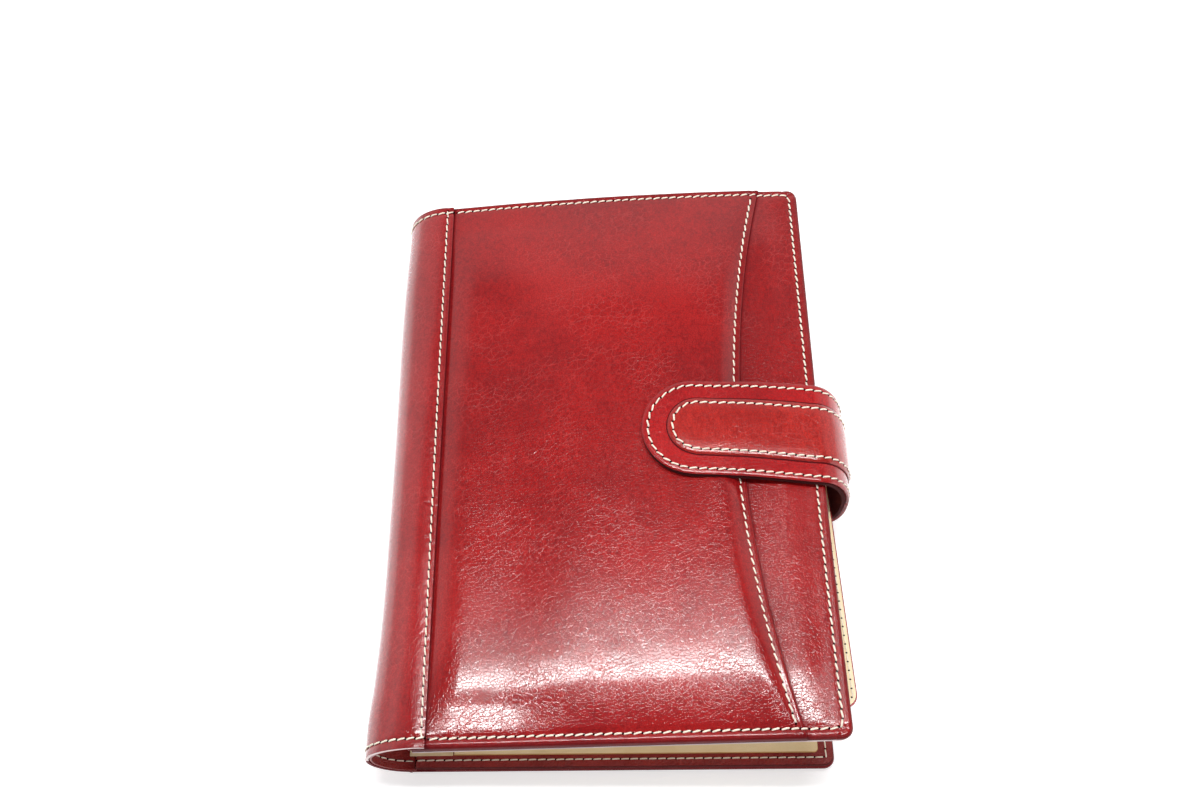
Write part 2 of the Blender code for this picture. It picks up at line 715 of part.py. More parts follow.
def make_leaves(parent):
    right = PAGE_LEFT_X + PAGE_WIDTH
    rear_left = RING_X + RIVET_HEAD + 2 * GAP
    rear = rounded_outline(rear_left, right, -PAGE_HEIGHT / 2, PAGE_HEIGHT / 2, PAGE_CORNER)
    page = rounded_outline(PAGE_LEFT_X, right, -PAGE_HEIGHT / 2, PAGE_HEIGHT / 2, PAGE_CORNER)
    hole_x = RING_X + RING_RADIUS
    round_holes = [slot_outline(hole_x - PAGE_HOLE, hole_x + PAGE_HOLE, y, PAGE_HOLE) for y in ring_places()]
    slots = [slot_outline(RING_X + SLOT_INNER, RING_X + SLOT_OUTER, y, PAGE_HOLE) for y in ring_places()]
    plate("rear_pages", [rear] + round_holes, REAR_STACK_Z, REAR_STACK_Z + REAR_STACK, paper)
    plate("front_pages", [page] + slots, FRONT_STACK_Z, FRONT_STACK_Z + FRONT_STACK, paper, parent)

    leaf = tabbed_leaf()
    plate("leaf_backing", [leaf] + slots, LEAF_BACKING_Z, LEAF_BACKING_Z + LEAF_BACKING, red_leather, parent)
    plate("leaf_face", [leaf] + slots, LEAF_FACE_Z, LEAF_FACE_Z + LEAF_FACE, cream_leather, parent)


def tabbed_leaf():
    """Outline of the leather leaf, with a tab on the lower half of its fore edge."""
    half = LEAF_HEIGHT / 2
    right = FORE_EDGE_X + LEAF_PROUD
    corners = ((FORE_EDGE_X + TAB_PROUD_FOOT, -half), (FORE_EDGE_X + TAB_PROUD_HEAD, TAB_HEAD_Y),
               (right, TAB_HEAD_Y + TAB_SHOULDER), (right, half), (PAGE_LEFT_X, half), (PAGE_LEFT_X, -half))
    return rounded_corners(corners, LEAF_CORNER)


def make_strap(loop_parent, tip_parent):
    band("strap_band", 0.0, STRAP_WIDTH, STRAP_LEATHER, 0.0, red_leather, loop_parent)
    backing_inset = STRAP_DEPTH - STRAP_BACKING
    band("strap_backing", backing_inset, STRAP_WIDTH, STRAP_BACKING, 0.0, maroon_leather, loop_parent,
         with_tail=False)
    band("strap_inlay", -INLAY_THICKNESS - GAP, INLAY_WIDTH, INLAY_THICKNESS, INLAY_TIP_INSET, red_leather,
         tip_parent, with_tail=False, start=LOOP_RISE)
    magnet_tip = INLAY_TIP_INSET
    magnet_inset = STRAP_LEATHER + GAP
    length = path_lengths(strap_path(magnet_inset, False))[-1]
    band("strap_magnet", magnet_inset, MAGNET_WIDTH, STRAP_MAGNET, magnet_tip, grey_foam, tip_parent,
         with_tail=False, start=length - magnet_tip - MAGNET_LENGTH)


for old in list(bpy.data.objects):
    bpy.data.objects.remove(old)
parts = new_collection("leather_diary")
cutters = new_collection("leather_diary_cutters")

red_leather = material("red_leather", (0.38, 0.022, 0.028), 0.32)
maroon_leather = material("maroon_leather", (0.075, 0.008, 0.012), 0.45)
cream_leather = material("cream_leather", (0.78, 0.62, 0.36), 0.75)
grey_board = material("grey_board", (0.32, 0.29, 0.26), 0.9)
grey_foam = material("grey_foam", (0.16, 0.16, 0.17), 0.95)
paper = material("paper", (0.86, 0.82, 0.72), 0.85)
nickel = material("nickel", (0.72, 0.70, 0.66), 0.22, 1.0)
steel = material("steel", (0.50, 0.50, 0.50), 0.40, 1.0)

spine_fold = pivot("spine_fold", (FOLD_X, 0.0, FOLD_LOW_Z))
cover_fold = pivot("cover_fold", (FOLD_X, 0.0, FOLD_HIGH_Z), WEDGE_ANGLE, spine_fold)
leaf_turn = pivot("leaf_turn", (RING_X, 0.0, RING_HEIGHT))
ring_left = pivot("ring_left", (RING_X - PLATE_HALF_WIDTH, 0.0, PIVOT_Z))
ring_right = pivot("ring_right", (RING_X + PLATE_HALF_WIDTH, 0.0, PIVOT_Z))
strap_root = pivot("strap_root", (STRAP_FOLD_X, 0.0, STRAP_FOLD_LOW_Z))
strap_tip = pivot("strap_tip", (STRAP_FOLD_X, 0.0, STRAP_FOLD_HIGH_Z), 0.0, strap_root)

make_back_cover()
make_spine(spine_fold)
make_front_cover(cover_fold)
make_rail()
make_ring_half("ring_half_left", -1, ring_left)
make_ring_half("ring_half_right", 1, ring_right)
make_leaves(leaf_turn)
make_strap(strap_root, strap_tip)
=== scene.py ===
"""Looks of the leather ring diary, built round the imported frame.

The visible leather, linings, edges, stitches, rings and leaves are modelled here, in the frame's own metres.
The front cover is drawn flat and then turned about the upper fold, as it lies wedged open at rest.
"""
import json
import math
from collections import namedtuple

import bmesh
import bpy
from mathutils import Matrix, Vector, noise


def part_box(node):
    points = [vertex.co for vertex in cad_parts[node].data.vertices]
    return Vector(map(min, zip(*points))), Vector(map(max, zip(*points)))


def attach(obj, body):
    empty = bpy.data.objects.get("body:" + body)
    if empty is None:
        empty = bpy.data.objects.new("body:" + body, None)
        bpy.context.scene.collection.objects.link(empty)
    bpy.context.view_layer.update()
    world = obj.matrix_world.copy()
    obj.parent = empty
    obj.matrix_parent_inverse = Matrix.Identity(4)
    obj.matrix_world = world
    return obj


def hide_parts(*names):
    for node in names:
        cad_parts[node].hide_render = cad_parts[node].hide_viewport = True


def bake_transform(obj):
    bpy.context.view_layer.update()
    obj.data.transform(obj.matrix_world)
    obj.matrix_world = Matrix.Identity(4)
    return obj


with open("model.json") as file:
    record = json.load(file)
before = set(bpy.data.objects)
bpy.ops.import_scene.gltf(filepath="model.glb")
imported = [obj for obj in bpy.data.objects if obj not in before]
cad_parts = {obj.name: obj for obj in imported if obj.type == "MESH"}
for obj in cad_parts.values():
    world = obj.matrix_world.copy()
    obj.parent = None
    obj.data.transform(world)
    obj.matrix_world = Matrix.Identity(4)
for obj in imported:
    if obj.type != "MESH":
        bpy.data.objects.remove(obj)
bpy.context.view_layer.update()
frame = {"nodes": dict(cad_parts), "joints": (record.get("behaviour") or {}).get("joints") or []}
joints = {joint["name"]: Vector(joint["pos_m"]) for joint in frame["joints"]}
UP = Vector((0, 0, 1))

# Camera, worked out from the corners and seams in the photograph
IMAGE_WIDTH = 1200
SENSOR_WIDTH = 36.0
FOCAL_PIXELS = 1382.98
CAMERA_PLACE = Vector((-0.00397, -0.25053, 0.49349))
CAMERA_PITCH = 1.04019
CAMERA_YAW = -0.01225
CAMERA_ROLL = 0.00359
CLIP_START = 0.01
CLIP_END = 50.0

# Covers
HALF_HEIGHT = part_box("back_panel")[1].y
FORE_EDGE_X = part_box("back_panel")[1].x
SPINE_OUTER_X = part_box("spine_panel")[0].x
FOLD_X = joints["cover_fold"].x
FOLD_HIGH_Z = joints["cover_fold"].z
WEDGE_ANGLE = math.radians(4.0)
CLOSED_THICKNESS = 0.0305
CORNER_RADIUS = 0.004
SQUARE_CORNER = 0.0002
FRONT_EDGE_X = FOLD_X + (FORE_EDGE_X - FOLD_X) / math.cos(WEDGE_ANGLE)

# Spine
SPINE_RADIUS = 0.014
SPINE_LOW_Z = 0.0015
SPINE_THICKNESS = 0.0012
SPINE_TANGENT_X = SPINE_OUTER_X + SPINE_RADIUS
SPINE_TAIL = 0.008
SPINE_EASE = 0.0040
SPINE_ARC_STEPS = 18
SPINE_TOP_STEPS = 8
SEAM_OVERLAP = 0.007
SEAM_X = SPINE_TANGENT_X + SEAM_OVERLAP
WAIST_KNOTS = ((-0.115, -0.0013), (-0.103, -0.0012), (-0.088, 0.0), (-0.062, 0.0011), (0.0, 0.0012),
               (0.070, 0.0006), (0.105, 0.0013), (0.115, 0.0014))
PUCKER_HEIGHT = 0.00006
PUCKER_REACH = 0.0045
PUCKER_LEAN = 0.9
PUCKER_STEPS = 6
PUCKER_SHARE = 0.5
PUCKER_SPREAD = 0.9
PUCKER_ACROSS = 120.0
PUCKER_ALONG = 70.0
PUCKER_LAYER = 3.0
PUCKER_HEAD_LOSS = 0.7
PUCKER_HEAD_Y = 0.08
SPINE_STITCH_INSET = 0.0022
SPINE_STITCH_DRIFT = 0.00065
SPINE_STITCH_BEND = 0.0003
SPINE_GROOVE = 0.8
SPINE_SEAM_SINK = 0.5
SPINE_END_SINK = 0.6
SPINE_OUTWARD = Vector((-0.7, 0.0, 0.7))
WALL_SINK = 0.00002
WALL_LAP = 0.0008
WALL_FADE = 0.006
LINER_INSET = SPINE_THICKNESS + 0.0002
LINER_THICKNESS = 0.0007
LINER_END_INSET = 0.0002
LINER_TAIL = 0.001
LINER_TOP_GAP = 0.0006

# Levels and layers of the flat front cover
CENTRE_TOP_Z = 0.0289
FORE_TOP_Z = 0.0279
PANEL_THICKNESS = 0.0009
PANEL_UNDERLAP = 0.005
SKIRT_PROUD = 0.0001
# Painted shade on the skirts turned down at the ends of the front cover
SKIRT_SHADE = 0.95
LINING_LOW_Z = 0.0250
LINING_TOP_Z = 0.0256
LINING_LEATHER = 0.0005
LINING_PROUD = 0.0001
POCKET_LOW_Z = 0.0241
POCKET_TOP_Z = 0.0250
EDGE_CORE_TOP_Z = FORE_TOP_Z - 0.0011
EDGE_CORE_INSET = 0.0012
EDGE_CORE_LEFT = SPINE_TANGENT_X + 0.002
RAW_FORE_INSET = 0.0008
RAW_END_PROUD = 0.0003
LINING_LEFT = SPINE_TANGENT_X + 0.0004
FRONT_LINING_INSET = 0.0006
POCKET_SPINE_INSET = 0.0135
POCKET_FORE_INSET = 0.0095
POCKET_END_INSET = 0.006

# How the ends of the front cover are drawn out of square
HEAD_STRETCH_SEAM = 0.0012
HEAD_STRETCH_FORE = 0.0016
HEAD_BULGE = 0.0018
HEAD_TWIST = 0.0012
FOOT_SPREAD = 0.0011

# Padding of the front cover: slopes at distances in from its ends, and as tucked in near the spine
FOOT_END = ((0.0, 0.260), (0.010, 0.190), (0.0185, 0.1045), (0.030, 0.0665), (0.056, 0.0))
HEAD_END = ((0.0, 0.191), (0.056, 0.0))
TUCKED_END = ((0.0, 0.070), (0.009, 0.070), (0.012, 0.150), (0.0158, 0.106), (0.024, 0.070), (0.040, 0.0))
CUSHION_END = ((0.0, 0.105), (0.016, 0.078), (0.026, 0.0))
CUSHION_FALL_FORE = 0.014
CROWN_HEIGHT = 0.0053
CROWN_MARGIN = 0.0040
CROWN_FROM_SEAM = 0.0005
CROWN_FALL_SPINE = 0.012
CROWN_FALL_BOW = 0.008
TUCK_FROM_SEAM = 0.023
TUCK_FADE = 0.036
GATHER_HEIGHT = 0.00009
GATHER_INSET = 0.011
GATHER_REACH = 0.007
GATHER_ACROSS = 270.0
GATHER_ALONG = 40.0
UNEVEN_BROAD = 0.00010
UNEVEN_BROAD_SCALE = 45.0
UNEVEN_FINE = 0.00003
UNEVEN_FINE_SCALE = 150.0
BOW_END_INSET = 0.0155
BOW_DEPTH = 0.014

# Back cover
BACK_RIM_Z = 0.0034
BACK_INNER_Z = 0.0044
BACK_LEFT = SPINE_TANGENT_X - 0.002
BACK_LINING_INSET = 0.0004
BACK_LINING_DEPTH = 0.0008
BACK_POCKET_LOW_Z = 0.0044
BACK_POCKET_TOP_Z = 0.0054
BACK_POCKET_INSET = 0.0049
BACK_POCKET_FORE_INSET = 0.0060
BACK_POCKET_CORNER = 0.0015
BACK_STITCH_CORNER = 0.0012
BACK_STITCH_Z = 0.00054
STRIP_LEFT = SPINE_TANGENT_X - 0.0015
STRIP_GAP = 0.0003
STRIP_PROUD = 0.0002
STRIP_SINK = 0.0001

# Half-round and softened edges
COVER_ROLL = 0.0012
BACK_LINING_ROLL = 0.0005
LAYER_ROLL = 0.0003
THIN_ROLL = 0.0002
STRIP_ROLL = 0.0001
SOFT_EDGE = 0.0004
SPINE_SOFT_EDGE = 0.0003
THIN_SOFT_EDGE = 0.0002
STRAP_SOFT_EDGE = 0.0005
INLAY_SOFT_EDGE = 0.0003
INLAY_EDGE_SOFT_EDGE = 0.0001

# How far the painted shade reaches from the leather's edges, seams and laps
END_SHADE_REACH = 0.004
SIDE_SHADE_REACH = 0.003
BROAD_SHADE_REACH = 0.02
LAP_SHADE_REACH = 0.0006
SEAM_SHADE_MARGIN = 0.001
SPINE_LOW_SHADE_REACH = 0.0025
SPINE_SEAM_SHADE_REACH = 0.002
SPINE_END_SHADE_REACH = 0.003
STRAP_SHADE_REACH = 0.0014

# How strongly the painted shade darkens it there; the BASE values are the leather's own even tone
EDGE_SHADE = 0.45
LAP_SHADE = 0.62
END_SHADE = 0.24
SIDE_SHADE = 0.14
BROAD_SHADE = 0.14
FORE_BASE_SHADE = 0.06
SPINE_BASE_SHADE = 0.05
SPINE_LOW_SHADE = 0.75
SPINE_SEAM_SHADE = 0.25
SPINE_END_SHADE = 0.3
STRAP_BASE_SHADE = 0.08
STRAP_EDGE_SHADE = 0.30
STRAP_LINING_SHADE = 0.65
INLAY_EDGE_SHADE = 0.9
FRONT_RIM_SHADE = 0.5
BACK_RIM_SHADE = 0.72
LINING_RIM_SHADE = 0.8
# The pocket's rim value gives its real tan edge colour, not shade
POCKET_RIM_SHADE = 0.9

# Edges and stitches
EDGE_ROLL = 0.0016
LIP_DROP = 0.0004
GROOVE_DEPTH = 0.00030
GROOVE_REACH = 0.0009
BORDER_INSET = 0.0033
BORDER_START = 0.001
BORDER_CORNER = CORNER_RADIUS - 0.0008
HEAD_INSET = 0.0028
SEAM_INSET = 0.0023
STITCH_PITCH = 0.0033
SPINE_PITCH = 0.00365
BOW_PITCH = 0.0036
STRAP_PITCH = 0.0035
THREAD_RADIUS = 0.00030
SPINE_THREAD = 0.00025
FINE_THREAD = 0.00022
STITCH_SLANT = math.radians(12)
SPINE_SLANT = math.radians(7)
FINE_SLANT = math.radians(3)
STITCH_SIDES = 6
STITCH_RINGS = 7
STITCH_HALF = 0.445
STITCH_CREST = 0.75
STITCH_DIVE = 1.35
STITCH_TAPER = 0.25
STITCH_SPREAD = 1.15
WOBBLE_SCALE = 900.0
WOBBLE_SLANT = 0.5
WOBBLE_LENGTH = 0.02
HOLE_SIDES = 10
HOLE_LENGTH = 0.00046
HOLE_WIDTH = 0.00054
HOLE_RIM = 0.00003
HOLE_LIFT = 0.00019
EDGE_STEPS = (0.0, 0.00006, 0.0002, 0.0005, 0.0009, 0.0014, 0.0020, 0.0026, 0.0031, 0.0036, 0.0042, 0.0050,
              0.0062, 0.008)
LAP_STEPS = (-0.0006, 0.0, 0.0003, 0.0006, 0.0010, 0.0016, 0.0024)
LONG_STEPS = 120
CENTRE_COLUMNS = 72
FORE_COLUMNS = 14
RIM_STEPS = 8
RUN_STEP = 0.001

# Strap
STRAP_WIDTH = 0.0396
STRAP_LEATHER = 0.0015
STRAP_DEPTH = 0.0030
STRAP_STITCH_INSET = 0.0022
STRAP_ROUNDED = 0.0004
BACKING_GAP = 0.00005
BACKING_INSET = 0.0002
INLAY_WIDTH = 0.0238
INLAY_THICKNESS = 0.0009
INLAY_TIP_INSET = 0.0095
INLAY_RISE = 0.0006
INLAY_SWELL = 0.0006
INLAY_ROUNDED = 0.0003
INLAY_START = 0.018
INLAY_STITCH_INSET = 0.0020
INLAY_EDGE_PROUD = 0.00045
INLAY_EDGE_TIP = 0.0004
INLAY_EDGE_RISE = 0.0001
INLAY_EDGE_THICKNESS = 0.0003
STRAP_MIDDLE = ((0.0, -0.0015), (0.024, 0.0003), (0.046, 0.0010), (0.0634, 0.0012))
STRAP_FLARE = ((-0.024, 0.0), (0.0, 0.0017), (0.016, 0.0012), (0.036, 0.0))
LOOP_X = FORE_EDGE_X - 0.003
LOOP_REACH = 0.014
LOOP_FULLNESS_LOW = 2.8
LOOP_FULLNESS_TOP = 1.95
LOOP_TOP = 0.0428
LOOP_LOW = 0.0047
LOOP_MID_Z = (LOOP_TOP + LOOP_LOW) / 2
LOOP_RISE = (LOOP_TOP - LOOP_LOW) / 2
LOOP_STEPS = 48
SPAN_STEPS = 40
REST_STEPS = 20
STRAP_STEP = 0.0014
TIP_STEPS = 16
TIP_LAST = 0.9995
STRAP_TIP_X = LOOP_X - 0.0634
STRAP_TAIL = 0.006
STRAP_CLEARANCE = 0.0003
STRAP_CREST = 0.0003
REST_BESIDE_SEAM = 0.020
STRAP_EDGE = 0.0012
STITCH_SINK = 0.00005
SWELL_REACH = 0.007
HALF_COLUMNS = (1, 0.985, 0.96, 0.92, 0.86, 0.76, 0.6, 0.4, 0.2)

# Leaf with a tab
LEAF_HALF_HEIGHT = 0.0985
LEAF_RIGHT_X = FORE_EDGE_X + 0.0015
LEAF_CORNER = 0.005
LEAF_EDGE = 0.00015
LEAF_FACE_INSET = 0.0006
TAB_FOOT_X = FORE_EDGE_X + 0.0076
TAB_HEAD_X = FORE_EDGE_X + 0.0040
TAB_HEAD_Y = 0.002
TAB_SHOULDER = 0.012
LEAF_STITCH_INSET = 0.0020

# Rings
RING_X = joints["leaf_turn"].x
RING_HEIGHT = joints["leaf_turn"].z
RING_RADIUS = 0.0075
RING_WIRE = 0.0011
RING_PLACES = (-0.073, -0.054, -0.035, 0.035, 0.054, 0.073)
RING_BEND = 0.002
RING_BEND_Z = 0.0078
RING_ROOT_X = 0.0056
RING_TIP_GAP = 0.0004
RING_STEPS = 16
RAIL_HALF_WIDTH = 0.0062
RAIL_HALF_LENGTH = 0.092
RAIL_TOP_Z = 0.00759
RAIL_ARCH = 0.001
RAIL_THICKNESS = 0.0007
RAIL_STEPS = 16
RAIL_ROWS = 18
PAGE_HOLE = 0.0022
SLOT_INNER = 0.0036
SLOT_OUTER = 0.0096
POCKET_LEFT = RING_X + RING_RADIUS + RING_WIRE - 0.0004

# Stage and light
FLOOR_SIZE = 6.0
FLOOR_Z = -0.0002
FLOOR_GLOW = 0.54
BACKDROP_LEAN = (0.0, -0.447, 0.894)
BACKDROP_EDGE = (0.33, 0.49)
BACKDROP_LEVELS = (0.85, 0.08)
STRIP_HEIGHT = 1.10
STRIP_LENGTH = 0.90
STRIP_X = 0.01
STRIP_PLACES = (0.028, 0.092, 0.128, 0.170, 0.250, 0.330, 0.420)
STRIP_LEVELS = (41.0, 22.0, 6.5, 3.0, 1.6, 0.7)
SOFT_AIM = (0.0, 0.0, 0.02)
SOFT_LIGHTS = (("soft_left", (-1.0, 0.0, 0.75), (1.0, 0.7), 0.8),
               ("soft_right", (1.2, -0.35, 0.35), (0.9, 0.5), 2.4),
               ("soft_foot", (0.0, -0.85, 0.60), (1.6, 0.50), 3.3))


# Curves and places

def ease(share):
    """Rise smoothly from 0 to 1."""
    share = min(max(share, 0.0), 1.0)
    return share * share * (3 - 2 * share)


def dome(share):
    """Rise from 0 to 1, steepest at the start."""
    share = min(max(share, 0.0), 1.0)
    return 1 - (1 - share) ** 2


def fade(distance, reach):
    """Fall from 1 towards 0 with distance."""
    return math.exp(-distance / reach)


def smooth(knots, value):
    """A smooth curve through knots of (place, height)."""
    value = min(max(value, knots[0][0]), knots[-1][0])
    index = 0
    while knots[index + 1][0] < value:
        index += 1
    slopes = []
    for knot in (index, index + 1):
        before = knots[max(knot - 1, 0)]
        after = knots[min(knot + 1, len(knots) - 1)]
        slopes.append((after[1] - before[1]) / (after[0] - before[0]))
    start, end = knots[index], knots[index + 1]
    span = end[0] - start[0]
    share = (value - start[0]) / span
    rise = ease(share)
    bend = slopes[0] * share * (1 - share) ** 2 - slopes[1] * share ** 2 * (1 - share)
    return start[1] * (1 - rise) + end[1] * rise + bend * span


def slope_rise(knots, distance):
    """Height gained over a distance along slopes that change evenly from knot to knot."""
    rise = 0.0
    for (start, slope), (end, after) in zip(knots, knots[1:]):
        if distance > start:
            run = min(distance, end) - start
            last = slope + (after - slope) * run / (end - start)
            rise += (slope + last) / 2 * run
    return rise


def wedged(x, z, angle):
    """Turn a point of the section about the upper fold."""
    dx = x - FOLD_X
    dz = z - FOLD_HIGH_Z
    return Vector((FOLD_X + dx * math.cos(angle) - dz * math.sin(angle),
                   FOLD_HIGH_Z + dx * math.sin(angle) + dz * math.cos(angle)))


def front(x, y, z):
    """Turn a point of the flat front cover to where it lies wedged open, its ends a little out of square."""
    along = min(max((x - SEAM_X) / (FRONT_EDGE_X - SEAM_X), 0.0), 1.0)
    up = max(y, 0.0) / HALF_HEIGHT
    down = max(-y, 0.0) / HALF_HEIGHT
    y += up * (HEAD_STRETCH_SEAM + (HEAD_STRETCH_FORE - HEAD_STRETCH_SEAM) * along)
    y += up ** 2 * HEAD_BULGE * 4 * along * (1 - along)
    x += FOOT_SPREAD * along * down ** 2
    turned_x, turned_z = wedged(x, z + HEAD_TWIST * along * up, WEDGE_ANGLE)
    return Vector((turned_x, y, turned_z))


def filled(starts, high, count):
    """Values from the starts up to high, in a number of steps, and close together before high."""
    ends = [high - offset for offset in reversed(EDGE_STEPS)]
    span = ends[0] - starts[-1]
    return starts + [starts[-1] + span * index / count for index in range(1, count)] + ends


def spaced(low, high, count):
    """Values from low to high, close together at both ends, where there are an edge and a stitch line."""
    return filled([low + offset for offset in EDGE_STEPS], high, count)


def lapped(left, lap, right, count):
    """Columns from left to right, close together beside a lap and at the right edge."""
    return filled([left] + [lap + offset for offset in LAP_STEPS], right, count)


def running_lengths(points):
    """Distance along a line to each of its points."""
    lengths = [0.0]
    for before, after in zip(points, points[1:]):
        lengths.append(lengths[-1] + (after - before).length)
    return lengths


def locate(lengths, distance):
    """Which stretch of a line a distance falls in, and how far along that stretch."""
    index = 0
    while index < len(lengths) - 2 and lengths[index + 1] < distance:
        index += 1
    span = lengths[index + 1] - lengths[index]
    return index, (distance - lengths[index]) / span if span else 0.0


def line_points(start, end):
    count = max(2, round((Vector(end) - Vector(start)).length / RUN_STEP))
    return [tuple(Vector(start).lerp(Vector(end), index / count)) for index in range(count + 1)]


def arc(x, y, radius, start, turn=90, steps=8):
    """Points of an arc about (x, y), anticlockwise from a start angle in degrees."""
    angles = [math.radians(start + turn * part / steps) for part in range(steps + 1)]
    return [(x + radius * math.cos(angle), y + radius * math.sin(angle)) for angle in angles]


def rounded_outline(x0, x1, half, radius, round_left):
    """Points of a rectangle about the X axis, anticlockwise, with rounded corners."""
    left = radius if round_left else SQUARE_CORNER
    points = arc(x1 - radius, radius - half, radius, -90) + arc(x1 - radius, half - radius, radius, 0)
    return points + arc(x0 + left, half - left, left, 90) + arc(x0 + left, left - half, left, 180)


def border_path(left, right, foot, head, radius):
    """A stitch line from the foot of the spine side, round the fore edge, to the head."""
    points = line_points((left, foot), (right - radius, foot))
    points += arc(right - radius, foot + radius, radius, -90)[1:-1]
    points += line_points((right, foot + radius), (right, head - radius))
    points += arc(right - radius, head - radius, radius, 0)[1:-1]
    return points + line_points((right - radius, head), (left, head))


# Meshes and curves

def link(name, data):
    obj = bpy.data.objects.new(name, data)
    bpy.context.scene.collection.objects.link(obj)
    return obj


def new_mesh(name, verts, faces, mat):
    mesh = bpy.data.meshes.new(name)
    mesh.from_pydata(verts, [], faces)
    mesh.materials.append(mat)
    mesh.shade_smooth()
    return link(name, mesh)


def add_spline(curve, points, closed):
    spline = curve.splines.new("POLY")
    spline.points.add(len(points) - 1)
    for point, place in zip(spline.points, points):
        point.co = (*place, 1.0)
    spline.use_cyclic_u = closed


def settle(piece, slot, *nodes, body=None):
    """Attach a piece to the body it rides on and hide the CAD nodes it stands for. The slot argument is not
    used.
    """
    if body:
        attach(piece, body)
    if nodes:
        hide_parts(*nodes)
    return piece


def loft(name, rows, mat, outward):
    """A sheet through rows of points, facing outward."""
    across = len(rows[0])
    verts = [point for row in rows for point in row]
    faces = []
    for i in range(len(rows) - 1):
        for j in range(across - 1):
            first = i * across + j
            faces.append((first, first + 1, first + across + 1, first + across))
    obj = new_mesh(name, verts, faces, mat)
    facing = sum((polygon.normal * polygon.area for polygon in obj.data.polygons), Vector())
    if facing.dot(outward) < 0:
        obj.data.flip_normals()
    return obj


def thicken(obj, thickness, edge=SOFT_EDGE):
    """Give a sheet its thickness and soft edges."""
    solid = obj.modifiers.new("thickness", "SOLIDIFY")
    solid.thickness = thickness
    solid.offset = -1.0
    solid.use_even_offset = True
    bevel = obj.modifiers.new("edge", "BEVEL")
    bevel.width = edge
    bevel.segments = 3
    bevel.limit_method = "ANGLE"
    bevel.angle_limit = math.radians(50)
    bevel.use_clamp_overlap = True


def weld(obj):
    """Join the points of a sheet that lie in the same place."""
    shape = bmesh.new()
    shape.from_mesh(obj.data)
    bmesh.ops.remove_doubles(shape, verts=shape.verts, dist=0.000001)
    shape.to_mesh(obj.data)
    shape.free()


def paint(obj, values):
    """Keep one shade value for each vertex, for its material: mostly painted shade, with some even base tone
    and the pocket's real tan edge.
    """
    attribute = obj.data.attributes.new("shade", "FLOAT", "POINT")
    attribute.data.foreach_set("value", values)


Half = namedtuple("Half", "name bodies fold facing")


def blend(piece, half):
    """Bake a piece's placement into its mesh. Its half is not used to make it bend."""
    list(half.bodies)
    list(half.fold)
    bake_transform(piece)


def bending(name, rows, shades, mat, half, thickness, edge, slot, *nodes):
    """A half of a bending leather: a sheet with its thickness, on one side of its fold."""
    piece = loft(name, rows, mat, half.facing)
    if shades:
        paint(piece, shades)
    thicken(piece, thickness, edge)
    blend(piece, half)
    settle(piece, slot, *nodes)


def level(x, y, z):
    return Vector((x, y, z))


def slab(name, outline, levels, roll, mat, place=level, rim_shade=0.0):
    """A flat piece between two levels, with half-round edges. place turns a flat point to its place."""
    count = len(outline)
    low, high = levels
    verts = []
    for part in range(RIM_STEPS + 1):
        angle = math.radians(90 - 180 * part / RIM_STEPS)
        inset = roll * (1 - math.cos(angle))
        z = (low + high) / 2 + (high - low) / 2 * math.sin(angle)
        for index, (x, y) in enumerate(outline):
            run = (Vector(outline[(index + 1) % count]) - Vector(outline[index - 1])).normalized()
            verts.append(place(x - run.y * inset, y + run.x * inset, z))
    faces = []
    for part in range(RIM_STEPS):
        for index in range(count):
            first = part * count + index
            after = part * count + (index + 1) % count
            faces.append((first, first + count, after + count, after))
    faces.append(tuple(range(count)))
    faces.append(tuple(RIM_STEPS * count + index for index in reversed(range(count))))
    made = new_mesh(name, verts, faces, mat)
    # The rim takes rim_shade: painted shade on most rims, and the real tan edge colour on the cream pocket
    paint(made, [0.0 if index < count else rim_shade for index in range(len(verts))])
    return made


# Procedural materials

